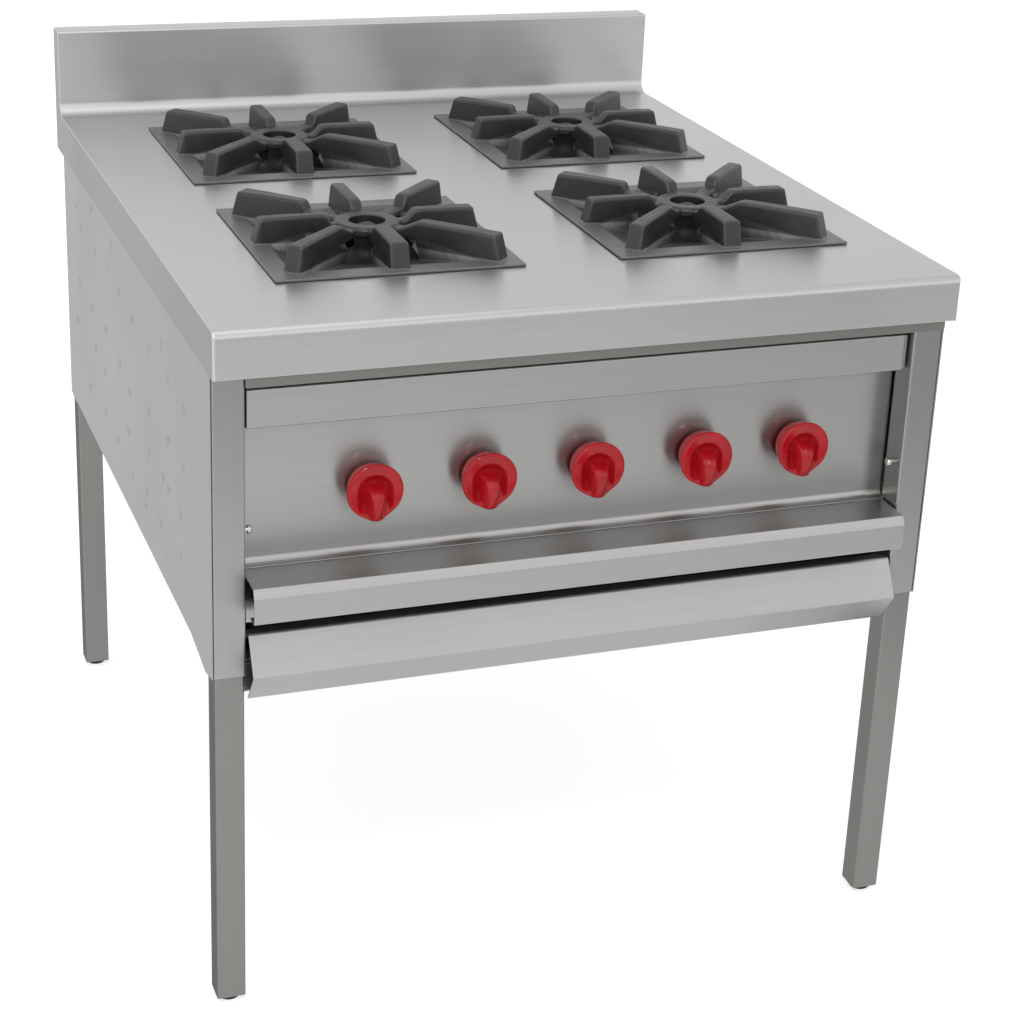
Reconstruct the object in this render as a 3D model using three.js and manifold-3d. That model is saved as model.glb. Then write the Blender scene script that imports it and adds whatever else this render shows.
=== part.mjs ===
// Commercial four-burner gas range on an open stand, built from folded stainless sheet,
// square tube and iron castings. Millimetres, +Z up, +X to the right of someone who faces
// the controls, -Y towards them. The origin is on the floor under the centre of the box
// that the whole range fills.
import * as THREE from "three";
import { mergeVertices } from "three/addons/utils/BufferGeometryUtils.js";
import Module from "manifold-3d";

const wasm = await Module();
wasm.setup();

// ---------------------------------------------------------------- driving dimensions
const TOP_WIDTH = 914;
const TOP_DEPTH = 1027;
const TOP_HEIGHT = 874; // cooking surface above the floor
const SHEET = 1.5; // thickness of the folded sheet
const GAP = 0.3; // between pieces that touch

const APRON_HEIGHT = 56;
const APRON_RETURN = 14; // hem folded back under the front apron
const HEM_BEND = 1.6; // radius of a sharp hem
const FRONT_BEND = 9; // radius of the worktop's front edge
const SPLASH_HEIGHT = 121; // backsplash above the cooking surface
const SPLASH_DEPTH = 34;
const SPLASH_BEND = 3; // along the backsplash's top
const COVE_RADIUS = 18; // between cooking surface and backsplash

const POST = 38; // square tube
const POST_WALL = 1.2;
const POST_INSET = 3.3; // post's outer face from the worktop's side
const POST_RECESS = 24.5; // front post's face behind the apron's face
const REAR_RECESS = 44; // rear post's back face ahead of the worktop's back
const JOINT_HEIGHT = 445; // where the plug-in legs leave the posts
const LEG = 35; // square tube
const LEG_PLUG = 100; // leg's length inside its post
const FOOT_RADIUS = 14;
const FOOT_HEIGHT = 7;

const LEDGE_PROUD = 5; // ledge's face ahead of the apron's face
const PANEL_RECESS = 66; // control panel's face behind the apron's face
const KNOB_HEIGHT = 653;
const KNOB_X = [-260, -121, 15, 156, 286];
const KNOB_RADIUS = 34;

const GRATE_SIZE = 305;
const GRATE_PITCH_X = 426;
const GRATE_PITCH_Y = 430;
const GRATE_CENTRE_X = 16;
const FRONT_GRATE_Y = 303; // behind the apron's face
const CUTOUT = 280;
const DISH_TOP = 252; // inside of the grate's dish, at its flange
const DISH_STEP = 236; // inside, at the foot of its steep border
const DISH_STEP_DEPTH = 3; // below the cooking surface
const DISH_FLOOR = 120; // inside, where its sloping floor ends
const DISH_DEPTH = 11;
const DISH_WALL = 6;
const FLAME_HOLE_RADIUS = 66;
const FLANGE = 3.5;
const FIN_HEIGHT = 35; // fin's land above the cooking surface
const FIN_WIDTH = 20;

const HEAD_RADIUS = 60;
const HEAD_LOW = TOP_HEIGHT - 60;
const HEAD_HIGH = TOP_HEIGHT - 32;
const VENTURI_RADIUS = 17;
const VENTURI_HEIGHT = TOP_HEIGHT - 95;

// ---------------------------------------------------------------- places worked out
const APRON_Y = -(TOP_DEPTH - LEDGE_PROUD) / 2;
const behind = (distance) => APRON_Y + distance; // a Y that far behind the apron's face
const BACK_Y = behind(TOP_DEPTH);
const TOP_HALF = TOP_WIDTH / 2;
const APRON_LOW = TOP_HEIGHT - APRON_HEIGHT;
const UNDERSIDE = TOP_HEIGHT - SHEET - GAP;
const POST_OUT = TOP_HALF - POST_INSET;
const POST_IN = POST_OUT - POST;
const BETWEEN = POST_IN - GAP; // half width of what fits between the posts
const POSTS_FRONT = behind(POST_RECESS); // front faces of the front posts
const POSTS_BACK = BACK_Y - REAR_RECESS; // back faces of the rear posts
const POST_Y = { front: POSTS_FRONT + POST / 2, rear: POSTS_BACK - POST / 2 };
const COLUMNS = {
  left: GRATE_CENTRE_X - GRATE_PITCH_X / 2,
  right: GRATE_CENTRE_X + GRATE_PITCH_X / 2,
};
const ROWS = {
  front: behind(FRONT_GRATE_Y),
  rear: behind(FRONT_GRATE_Y + GRATE_PITCH_Y),
};
const SIDES = { left: -1, right: 1 };

// ---------------------------------------------------------------- materials
const finish = (color, roughness, metalness) =>
  new THREE.MeshStandardMaterial({ color, roughness, metalness });
const stainless = () => finish(0xb9b8b5, 0.35, 1);
const galvanised = () => finish(0x8f9192, 0.5, 1);
const castIron = () => finish(0x3c3d3e, 0.75, 0.4);
const brass = () => finish(0xb08d4a, 0.4, 1);
const copper = () => finish(0xa8623c, 0.4, 1);
const steelPipe = () => finish(0x56585a, 0.55, 0.8);
const redPlastic = () => finish(0xb01014, 0.25, 0);
const blackPlastic = () => finish(0x161616, 0.5, 0);

// ---------------------------------------------------------------- solid helpers
// A closed three.js geometry as a solid that can be joined and cut.
function toSolid(geometry) {
  const bare = geometry.clone();
  bare.deleteAttribute("normal");
  bare.deleteAttribute("uv");
  const merged = mergeVertices(bare);
  const corners = merged.index.array;
  const kept = [];
  for (let i = 0; i < corners.length; i += 3) {
    const [a, b, c] = corners.subarray(i, i + 3);
    if (a !== b && b !== c && c !== a) kept.push(a, b, c);
  }
  return new wasm.Manifold(
    new wasm.Mesh({
      numProp: 3,
      vertProperties: merged.attributes.position.array,
      triVerts: new Uint32Array(kept),
    }),
  );
}

function toGeometry(solid) {
  const { numProp, vertProperties, triVerts } = solid.getMesh();
  const geometry = new THREE.BufferGeometry();
  geometry.setAttribute("position", new THREE.BufferAttribute(vertProperties, numProp));
  geometry.setIndex(new THREE.BufferAttribute(triVerts, 1));
  geometry.computeVertexNormals();
  return geometry;
}

const join = (...solids) => solids.reduce((whole, piece) => whole.add(piece));
const cut = (solid, ...tools) => tools.reduce((left, tool) => left.subtract(tool), solid);

const range = new THREE.Group();
function addPiece(name, solid, material) {
  const mesh = new THREE.Mesh(toGeometry(solid), material);
  mesh.name = name;
  range.add(mesh);
}

function box(x0, x1, y0, y1, z0, z1) {
  const geometry = new THREE.BoxGeometry(x1 - x0, y1 - y0, z1 - z0);
  return toSolid(geometry.translate((x0 + x1) / 2, (y0 + y1) / 2, (z0 + z1) / 2));
}

// A box whose X range is given for the right-hand side and mirrored for the left.
const sideBox = (side, x0, x1, ...rest) =>
  side > 0 ? box(x0, x1, ...rest) : box(-x1, -x0, ...rest);

const flat = (points) => new THREE.Shape(points.map(([u, v]) => new THREE.Vector2(u, v)));

function extrude(points, length, basis, origin) {
  const geometry = new THREE.ExtrudeGeometry(flat(points), { depth: length, bevelEnabled: false });
  const matrix = new THREE.Matrix4().makeBasis(...basis).setPosition(...origin);
  return toSolid(geometry.applyMatrix4(matrix));
}

const X = new THREE.Vector3(1, 0, 0);
const Y = new THREE.Vector3(0, 1, 0);
const Z = new THREE.Vector3(0, 0, 1);
const extrudeX = (yz, x0, x1) => extrude(yz, x1 - x0, [Y, Z, X], [x0, 0, 0]);

// A closed ring section [radius, height] turned about an upright axis.
function turnZ(section, x, y, segments = 20) {
  const points = section.map(([r, z]) => new THREE.Vector2(r, z));
  const geometry = new THREE.LatheGeometry(points, segments);
  return toSolid(geometry.rotateX(Math.PI / 2).translate(x, y, 0));
}

function cylinder(axis, radius, from, length, segments = 24) {
  const geometry = new THREE.CylinderGeometry(radius, radius, length, segments);
  const turn = new THREE.Quaternion().setFromUnitVectors(Y, axis);
  const middle = from.clone().addScaledVector(axis, length / 2);
  return toSolid(geometry.applyQuaternion(turn).translate(middle.x, middle.y, middle.z));
}

const disc = (radius, x, y, z0, z1, segments) =>
  cylinder(Z, radius, new THREE.Vector3(x, y, z0), z1 - z0, segments);

// A round bar through the points, with a ball at each bend.
function pipe(radius, points, segments = 8) {
  const places = points.map((p) => new THREE.Vector3(...p));
  const pieces = places.slice(1).map((end, i) => {
    const run = end.clone().sub(places[i]);
    return cylinder(run.clone().normalize(), radius, places[i], run.length(), segments);
  });
  const balls = places.slice(1, -1).map((p) =>
    toSolid(new THREE.SphereGeometry(radius, segments, segments / 2).translate(p.x, p.y, p.z)),
  );
  return join(...pieces, ...balls);
}

// ---------------------------------------------------------------- folded sheet
// An open path of [u, v, bend radius] with its bends drawn as arcs.
function bentPath(points, steps = 5) {
  const at = (i) => new THREE.Vector2(points[i][0], points[i][1]);
  return points.flatMap(([, , radius], i) => {
    const corner = at(i);
    if (!radius) return [corner];
    const back = at(i - 1).sub(corner).normalize();
    const on = at(i + 1).sub(corner).normalize();
    const half = Math.acos(back.dot(on)) / 2;
    const middle = back.clone().add(on).normalize();
    const centre = corner.clone().addScaledVector(middle, radius / Math.sin(half));
    const start = corner.clone().addScaledVector(back, radius / Math.tan(half)).sub(centre);
    const end = corner.clone().addScaledVector(on, radius / Math.tan(half)).sub(centre);
    const sweep = Math.atan2(start.cross(end), start.dot(end));
    return Array.from({ length: steps + 1 }, (_, k) =>
      start.clone().rotateAround(new THREE.Vector2(), (sweep * k) / steps).add(centre),
    );
  });
}

// The outline of a sheet whose face follows the path, its thickness on the path's left.
function sheetOutline(points, thickness = SHEET) {
  const path = bentPath(points);
  const normals = path.slice(1).map((p, i) => {
    const run = p.clone().sub(path[i]).normalize();
    return new THREE.Vector2(-run.y, run.x);
  });
  const inner = path.map((p, i) => {
    const a = normals[Math.max(i - 1, 0)];
    const b = normals[Math.min(i, normals.length - 1)];
    const mitre = a.clone().add(b).normalize();
    return p.clone().addScaledVector(mitre, thickness / mitre.dot(a));
  });
  return [...path, ...inner.reverse()].map((p) => [p.x, p.y]);
}

const foldedSheet = (yz, x0, x1, thickness) => extrudeX(sheetOutline(yz, thickness), x0, x1);

// ---------------------------------------------------------------- worktop and backsplash
const SPLASH_TOP = TOP_HEIGHT + SPLASH_HEIGHT;
const SPLASH_FACE = BACK_Y - SPLASH_DEPTH;
const COVER_FACE = BACK_Y - SHEET - GAP; // inner side of the backsplash's back cover

// The face that shows: round the front edge, over the cooking surface, up the backsplash
// and along its top.
const TOP_FACE = [
  [APRON_Y, TOP_HEIGHT, FRONT_BEND],
  [SPLASH_FACE, TOP_HEIGHT, COVE_RADIUS],
  [SPLASH_FACE, SPLASH_TOP, SPLASH_BEND],
  [BACK_Y, SPLASH_TOP],
];
const HEM_FACE = [
  [behind(APRON_RETURN), APRON_LOW],
  [APRON_Y, APRON_LOW, HEM_BEND],
];

// One side of the worktop, from the apron's bottom edge to the backsplash's top.
function worktopEnd(x0, x1) {
  const outline = bentPath([[APRON_Y, APRON_LOW], ...TOP_FACE, [BACK_Y, APRON_LOW]]);
  return extrudeX(outline.map((p) => [p.x, p.y]), x0, x1);
}

const CUT_REACH = 9; // a cutting tool's reach past a sheet on both sides

function cutout(x, y) {
  const half = CUTOUT / 2;
  return box(x - half, x + half, y - half, y + half, TOP_HEIGHT - CUT_REACH, TOP_HEIGHT + CUT_REACH);
}

function worktop() {
  // Front to back the metal is on the path's right, so the path is turned round.
  const sheet = foldedSheet([...HEM_FACE, ...TOP_FACE].reverse(), -TOP_HALF, TOP_HALF);
  const ends = join(
    worktopEnd(-TOP_HALF, -TOP_HALF + SHEET),
    worktopEnd(TOP_HALF - SHEET, TOP_HALF),
  );
  const coverHigh = SPLASH_TOP - SHEET - GAP;
  const coverRoom = box(-TOP_HALF, TOP_HALF, COVER_FACE, BACK_Y, APRON_LOW, coverHigh);
  const rows = Object.values(ROWS);
  const holes = Object.values(COLUMNS).flatMap((x) => rows.map((y) => cutout(x, y)));
  return cut(join(sheet, ends), coverRoom, ...holes);
}

const backsplashBack = () =>
  box(-TOP_HALF, TOP_HALF, COVER_FACE + GAP, BACK_Y, APRON_LOW, SPLASH_TOP - SHEET - 2 * GAP);

// ---------------------------------------------------------------- stand
const POST_X = (POST_OUT + POST_IN) / 2;

// A square bar that stands about the point x, y.
const squareBar = (x, y, half, z0, z1) => box(x - half, x + half, y - half, y + half, z0, z1);

// A square tube centred on its side's posts, open at both ends.
const squareTube = (side, y, size, wall, z0, z1) =>
  cut(
    squareBar(side * POST_X, y, size / 2, z0, z1),
    squareBar(side * POST_X, y, size / 2 - wall, z0 - 1, z1 + 1),
  );

const SCREW_Z = 622;
const SCREW_Y = behind(42);
const SCREW_RADIUS = 3;
const SCREW_LENGTH = 17;
const SCREW_INSIDE = 9; // the screw's end inside the post
const HEAD_HALF = 5.5;
const HEAD_THICK = 5;

function post(side, y, front) {
  const tube = squareTube(side, y, POST, POST_WALL, JOINT_HEIGHT, UNDERSIDE);
  if (!front) return tube;
  const out = X.clone().multiplyScalar(side);
  const from = new THREE.Vector3(side * (POST_IN - 5), SCREW_Y, SCREW_Z);
  return cut(tube, cylinder(out, SCREW_RADIUS + GAP, from, 12, 16));
}

const LEG_WALL = 1.5;
const leg = (side, y) =>
  squareTube(side, y, LEG, LEG_WALL, FOOT_HEIGHT, JOINT_HEIGHT + LEG_PLUG);

const PLUG_HEIGHT = 22;

// A glide under a plug that is pressed into the leg's open end.
function foot(side, y) {
  const x = side * POST_X;
  const half = LEG / 2 - LEG_WALL - GAP;
  const plug = squareBar(x, y, half, FOOT_HEIGHT, FOOT_HEIGHT + PLUG_HEIGHT);
  return join(plug, disc(FOOT_RADIUS, x, y, 0, FOOT_HEIGHT + 1));
}

// A screw through the front post's inner wall, its head standing off beside the panel.
function panelScrew(side) {
  const out = X.clone().multiplyScalar(-side);
  const start = new THREE.Vector3(side * (POST_IN + SCREW_INSIDE), SCREW_Y, SCREW_Z);
  const head = start.clone().addScaledVector(out, SCREW_LENGTH - 2);
  const shank = cylinder(out, SCREW_RADIUS, start, SCREW_LENGTH, 16);
  return join(shank, cylinder(out, HEAD_HALF, head, HEAD_THICK, 6));
}

const PANEL_SKIN = 1.2;
const SKIRT_LOW = 451; // side panel's bottom edge
const DIP = 7; // how far the panel's front corner hangs below the posts' lower ends
const DIP_LENGTH = 115;

// The side panel covers the outside of both posts, and dips to meet the front leg.
function sidePanel(side) {
  const outline = [
    [POSTS_FRONT, UNDERSIDE],
    [POSTS_FRONT, JOINT_HEIGHT],
    [POSTS_FRONT + POST - 2, JOINT_HEIGHT - DIP],
    [POSTS_FRONT + DIP_LENGTH, SKIRT_LOW],
    [POSTS_BACK, SKIRT_LOW],
    [POSTS_BACK, UNDERSIDE],
  ];
  const inner = POST_OUT + GAP;
  return side > 0
    ? extrudeX(outline, inner, inner + PANEL_SKIN)
    : extrudeX(outline, -inner - PANEL_SKIN, -inner);
}

const INLET_X = BETWEEN - 22;
const PIPE_RADIUS = 13.5;

const BACK_PANEL_Y = POSTS_BACK - PANEL_SKIN;

function backPanel() {
  const sheet = box(-BETWEEN, BETWEEN, BACK_PANEL_Y, POSTS_BACK, SKIRT_LOW, UNDERSIDE);
  const hole = new THREE.Vector3(INLET_X, BACK_PANEL_Y - 5, KNOB_HEIGHT);
  return cut(sheet, cylinder(Y, PIPE_RADIUS + 3, hole, 12, 24));
}

// ---------------------------------------------------------------- front rails, panel and ledge
const RAIL_WALL = 1.5;
// A box-section rail between the front posts, open at both ends.
const rail = (y0, y1, z0, z1) =>
  cut(
    box(-BETWEEN, BETWEEN, y0, y1, z0, z1),
    box(-TOP_HALF, TOP_HALF, y0 + RAIL_WALL, y1 - RAIL_WALL, z0 + RAIL_WALL, z1 - RAIL_WALL),
  );

const TOP_RAIL_LOW = 746;
const TOP_RAIL_HIGH = 793;
const LEDGE_TOP = 566;
const LEDGE_LOW = 523;
const LEDGE_HALF = BETWEEN - 2.5;
const MID_RAIL_FRONT = 27;
const MID_RAIL_BACK = 62;
const MID_RAIL_LOW = 511;
const MID_RAIL_HIGH = 541;
const BOTTOM_RAIL_FRONT = 36;
const BOTTOM_RAIL_DEPTH = 30;
const BOTTOM_RAIL_LOW = 418;
const BOTTOM_RAIL_HIGH = 456;
const PANEL_BEND = 9;

const frontTopRail = () =>
  rail(behind(POST_RECESS + 9), behind(PANEL_RECESS - GAP), TOP_RAIL_LOW, TOP_RAIL_HIGH);
const frontMidRail = () =>
  rail(behind(MID_RAIL_FRONT), behind(MID_RAIL_BACK), MID_RAIL_LOW, MID_RAIL_HIGH);
const frontBottomRail = () =>
  rail(
    behind(BOTTOM_RAIL_FRONT),
    behind(BOTTOM_RAIL_FRONT + BOTTOM_RAIL_DEPTH),
    BOTTOM_RAIL_LOW,
    BOTTOM_RAIL_HIGH,
  );

const FILLER_FRONT = POST_RECESS - 1.5;
const FILLER_LOW = 798.5;
const FILLER_SHELF = 22; // depth of its top flange, between the posts

// A strip under the apron. It laps over the right-hand post and butts against the left one.
function frontFiller() {
  const high = APRON_LOW - GAP;
  const back = behind(FILLER_FRONT + PANEL_SKIN);
  const face = box(-BETWEEN, POST_OUT + GAP + PANEL_SKIN, behind(FILLER_FRONT), back, FILLER_LOW, high);
  const shelf = box(-BETWEEN, BETWEEN, back - 0.5, back + FILLER_SHELF, high - PANEL_SKIN, high);
  return join(face, shelf);
}

const STEM_RADIUS = 4;

// The panel ends below in a coved flange that lies on the ledge.
function controlPanel() {
  const face = behind(PANEL_RECESS);
  const flange = LEDGE_TOP + GAP + SHEET;
  const sheet = foldedSheet(
    [
      [face, TOP_RAIL_HIGH],
      [face, flange, PANEL_BEND],
      [face - PANEL_BEND - 2, flange],
    ],
    -BETWEEN,
    BETWEEN,
  );
  const holes = KNOB_X.map((x) =>
    cylinder(Y, STEM_RADIUS + 2, new THREE.Vector3(x, face - 5, KNOB_HEIGHT), 12, 20),
  );
  return cut(sheet, ...holes);
}

const LEDGE_BEVEL = 11; // height of the nose's bevel
const LEDGE_RETURN = 14;
const LEDGE_BACK = MID_RAIL_BACK + GAP + SHEET;

// The ledge hangs over the middle rail: back flange, top, bevelled nose, face and hem.
function frontLedge() {
  return foldedSheet(
    [
      [behind(LEDGE_BACK), MID_RAIL_HIGH + 2],
      [behind(LEDGE_BACK), LEDGE_TOP, 2],
      [APRON_Y, LEDGE_TOP],
      [behind(-LEDGE_PROUD), LEDGE_TOP - LEDGE_BEVEL],
      [behind(-LEDGE_PROUD), LEDGE_LOW, HEM_BEND],
      [behind(LEDGE_RETURN), LEDGE_LOW],
    ],
    -LEDGE_HALF,
    LEDGE_HALF,
  );
}

// ---------------------------------------------------------------- drip tray
const TRAY_FLOOR = 459;
const TRAY_HIGH = 498;
const TRAY_FRONT = 40;
const TRAY_BACK = 930;
const TRAY_HALF = 403;
const TRAY_WALL_HIGH = TRAY_HIGH - 8;
const SLOPE_TOP = 25; // top of the sloped front, behind the apron's face
const LIP_TOP = 453;
const LIP_LOW = 414;
const LIP_SET_BACK = 28; // the lip's lower edge, tucked in under the slope

// A pan whose front is a V: a slope that comes forward and a lip that goes back under it.
function dripTray() {
  const outer = box(
    -TRAY_HALF,
    TRAY_HALF,
    behind(TRAY_FRONT),
    behind(TRAY_BACK),
    TRAY_FLOOR,
    TRAY_WALL_HIGH,
  );
  const inner = box(
    -TRAY_HALF + SHEET,
    TRAY_HALF - SHEET,
    behind(TRAY_FRONT + SHEET),
    behind(TRAY_BACK - SHEET),
    TRAY_FLOOR + SHEET,
    TRAY_HIGH,
  );
  const face = foldedSheet(
    [
      [behind(TRAY_FRONT + SHEET), TRAY_WALL_HIGH - 4],
      [behind(TRAY_FRONT + SHEET), TRAY_HIGH, 2],
      [behind(SLOPE_TOP), TRAY_HIGH, 5],
      [APRON_Y, LIP_TOP],
      [behind(LIP_SET_BACK), LIP_LOW],
    ],
    -LEDGE_HALF,
    LEDGE_HALF,
  );
  return join(cut(outer, inner), face);
}

const RUNNER_WIDTH = 28;

// An angle on each side that the tray's floor slides on.
function trayRunner(side) {
  const y0 = behind(TRAY_FRONT);
  const y1 = BACK_PANEL_Y - GAP;
  const high = TRAY_FLOOR - GAP;
  return join(
    sideBox(side, BETWEEN - RUNNER_WIDTH, BETWEEN, y0, y1, high - SHEET, high),
    sideBox(side, BETWEEN - SHEET, BETWEEN, y0, y1, high - SHEET, TRAY_HIGH),
  );
}

// ---------------------------------------------------------------- grates
const HUB_IN = 22;
const HUB_OUT = 41;
const HUB_LOW = 11;
const HUB_HIGH = 24;
const FIN_DIRECTIONS = 8;
const MID_FIN_REACH = 142;
const CORNER_FIN_REACH = 184;
const FIN_ARCH = { radius: 74, height: 9 }; // under the fin, clear of the flame
// Where each fin's step to the hub starts and ends, from straight right and round to the left.
const FIN_STEPS = [[48, 58], [80, 87], [46, 52], [80, 87], [46, 52], [50, 72], [48, 62], [50, 72]];

// A square frustum with its flat sides along X and Y.
function frustum(topSize, bottomSize, z0, z1) {
  const corner = Math.SQRT1_2;
  const geometry = new THREE.CylinderGeometry(topSize * corner, bottomSize * corner, z1 - z0, 4);
  return toSolid(geometry.rotateY(Math.PI / 4).rotateX(Math.PI / 2).translate(0, 0, (z0 + z1) / 2));
}

// One upright fin from the hub to the flange, with a level land and its foot in the dish.
// Fins to the corners are longer, and those of the rear corners stop short above a low web.
function fin(index) {
  const toCorner = index % 2 === 1;
  const reach = toCorner ? CORNER_FIN_REACH : MID_FIN_REACH;
  const stretch = toCorner ? Math.SQRT2 : 1;
  const [stepFoot, stepHead] = FIN_STEPS[index];
  const border = (DISH_TOP / 2 + DISH_WALL / 2) * stretch;
  const floorStart = (DISH_STEP / 2) * stretch;
  const floorEnd = (DISH_FLOOR / 2) * stretch + 6;
  const profile = [
    [HUB_OUT - 7, HUB_HIGH - 2],
    [stepFoot, HUB_HIGH - 1],
    [stepHead, FIN_HEIGHT - 1],
    [reach * 0.76, FIN_HEIGHT],
    [reach - 8, FIN_HEIGHT - 1],
    [reach, 1],
    [border, 0],
    [floorStart, -DISH_STEP_DEPTH - DISH_WALL / 2],
    [floorEnd, -DISH_DEPTH - DISH_WALL / 2],
    [FIN_ARCH.radius, FIN_ARCH.height],
    [HUB_OUT - 7, HUB_LOW + 2],
  ];
  const shape = extrude(profile, FIN_WIDTH, [X, Z, Y.clone().negate()], [0, FIN_WIDTH / 2, 0]);
  return shape.rotate([0, 0, index * 45]);
}

// A flange round a shallow dish with a sloping floor, a flame hole, a hub ring and the fins.
function grate(x, y) {
  const half = GRATE_SIZE / 2;
  const thick = 2 * DISH_WALL;
  const stepUnder = -DISH_STEP_DEPTH - DISH_WALL;
  const shell = join(
    box(-half, half, -half, half, GAP, FLANGE),
    frustum(DISH_TOP + thick, DISH_STEP + thick, stepUnder, FLANGE),
    frustum(DISH_STEP + thick, DISH_FLOOR + thick, -DISH_DEPTH - DISH_WALL, stepUnder),
  );
  const hollow = join(
    frustum(DISH_TOP, DISH_STEP, -DISH_STEP_DEPTH, FLANGE + 1),
    frustum(DISH_STEP, DISH_FLOOR, -DISH_DEPTH, -DISH_STEP_DEPTH),
    disc(FLAME_HOLE_RADIUS, 0, 0, -DISH_DEPTH - DISH_WALL - 1, 0, 24),
  );
  const hub = cut(
    disc(HUB_OUT, 0, 0, HUB_LOW, HUB_HIGH, 16),
    disc(HUB_IN, 0, 0, 0, HUB_HIGH + 1, 16),
  );
  const fins = Array.from({ length: FIN_DIRECTIONS }, (_, i) => fin(i));
  return join(cut(shell, hollow), hub, ...fins).translate([x, y, TOP_HEIGHT]);
}

// ---------------------------------------------------------------- burners
const THROAT_RADIUS = 30; // opening in the middle of the head
const BOWL_RADIUS = 33;
const RIM_WIDTH = 12;
const CAP_SEAT = 8; // depth of the recess that the cap drops into
const CAP_CROWN = 11; // the cap's shoulder above the head's rim
const BUTTON = { foot: 22, radius: 15, rise: 40, crown: 52 }; // the cap's domed middle
const MOUTH_Y = behind(118);
const MOUTH_LENGTH = 22;

// A round cast head on a mixing bowl, fed by a mixing tube that opens behind its jet.
function burner(x, y, mouthX, bendY) {
  const head = turnZ(
    [
      [THROAT_RADIUS, HEAD_LOW],
      [HEAD_RADIUS - 8, HEAD_LOW],
      [HEAD_RADIUS, HEAD_LOW + 8],
      [HEAD_RADIUS, HEAD_HIGH],
      [HEAD_RADIUS - RIM_WIDTH, HEAD_HIGH],
      [HEAD_RADIUS - RIM_WIDTH, HEAD_HIGH - CAP_SEAT],
      [THROAT_RADIUS, HEAD_HIGH - CAP_SEAT],
      [THROAT_RADIUS, HEAD_LOW],
    ],
    x,
    y,
  );
  const bowl = disc(BOWL_RADIUS, x, y, VENTURI_HEIGHT - 12, HEAD_HIGH - CAP_SEAT - 0.5, 16);
  const mixingTube = pipe(
    VENTURI_RADIUS,
    [
      [x, y, VENTURI_HEIGHT],
      [mouthX, bendY, VENTURI_HEIGHT],
      [mouthX, MOUTH_Y + MOUTH_LENGTH / 2, VENTURI_HEIGHT],
    ],
    12,
  );
  const start = new THREE.Vector3(mouthX, MOUTH_Y, VENTURI_HEIGHT);
  const mouth = cylinder(Y, VENTURI_RADIUS + 5, start, MOUTH_LENGTH, 12);
  const boreStart = start.clone().addScaledVector(Y, -1);
  const bore = cylinder(Y, VENTURI_RADIUS - 4, boreStart, MOUTH_LENGTH - 6, 12);
  return cut(join(head, bowl, mixingTube, mouth), bore);
}

// The cap that drops into the head's rim and throws the flame outwards. Its middle stands
// up as a button inside the grate's hub.
function burnerCap(x, y) {
  const seat = HEAD_HIGH - CAP_SEAT + 0.5;
  const plugRadius = HEAD_RADIUS - RIM_WIDTH - 1;
  return turnZ(
    [
      [0, seat],
      [plugRadius, seat],
      [plugRadius, HEAD_HIGH + GAP],
      [HEAD_RADIUS - 3, HEAD_HIGH + GAP],
      [HEAD_RADIUS - 4, HEAD_HIGH + 5],
      [BUTTON.foot, HEAD_HIGH + CAP_CROWN],
      [BUTTON.radius, HEAD_HIGH + BUTTON.rise],
      [BUTTON.radius - 5, HEAD_HIGH + BUTTON.crown - 2],
      [0, HEAD_HIGH + BUTTON.crown],
    ],
    x,
    y,
  );
}

const PILOT_RADIUS = 3;
const PILOT_REACH = 69; // pilot tip from the burner's centre
const SUPPORT_HALF = 50;
const SUPPORT_DEPTH = 16;

// A channel across the range under each row of burners, open where their bowls pass.
function burnerSupport(y) {
  const high = HEAD_LOW - GAP;
  const low = high - SUPPORT_DEPTH;
  const inner = SUPPORT_HALF - SHEET;
  const channel = cut(
    box(-POST_OUT, POST_OUT, y - SUPPORT_HALF, y + SUPPORT_HALF, low, high),
    box(-TOP_HALF, TOP_HALF, y - inner, y + inner, low - 1, high - SHEET),
  );
  const holes = Object.entries(COLUMNS).flatMap(([name, x]) => [
    disc(BOWL_RADIUS + 3, x, y, high - 5, high + 5, 16),
    disc(PILOT_RADIUS + 2, x - SIDES[name] * PILOT_REACH, y, high - 5, high + 5, 12),
  ]);
  return cut(channel, ...holes);
}

// ---------------------------------------------------------------- gas train
const VALVE_BACK = 108;
const VALVE_FRONT = 82;
const VALVE_HALF = 13;
const MANIFOLD_Y = behind(VALVE_BACK + GAP + PIPE_RADIUS);
const JET_Y = behind(95);
const RISER_RADIUS = 4;
const JET_RADIUS = 5;
const PILOT_VALVE = 2; // index of the middle valve
const PILOT_HEIGHT = 790;
const PILOT_NUT_HIGH = PILOT_HEIGHT - 4;
const BRANCH_HEIGHT = 803;

function gasManifold() {
  const left = new THREE.Vector3(-BETWEEN + 12, MANIFOLD_Y, KNOB_HEIGHT);
  const right = INLET_X - PIPE_RADIUS - GAP;
  return cylinder(X, PIPE_RADIUS, left, right - left.x, 20);
}

const SOCKET_RADIUS = 19;
const SOCKET_LENGTH = 26;
const SOCKET_BORE = 10;
const SOCKET_BACK = BACK_Y - 6;

// From the manifold's end along the right-hand side to a hexagonal socket at the back.
function gasInlet() {
  const front = MANIFOLD_Y - PIPE_RADIUS;
  const socketFront = SOCKET_BACK - SOCKET_LENGTH;
  const at = (y) => new THREE.Vector3(INLET_X, y, KNOB_HEIGHT);
  const run = cylinder(Y, PIPE_RADIUS, at(front), socketFront + 2 - front, 20);
  const socket = cylinder(Y, SOCKET_RADIUS, at(socketFront), SOCKET_LENGTH, 6);
  const bore = cylinder(Y, SOCKET_BORE, at(socketFront + 6), SOCKET_LENGTH, 20);
  return cut(join(run, socket), bore);
}

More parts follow.
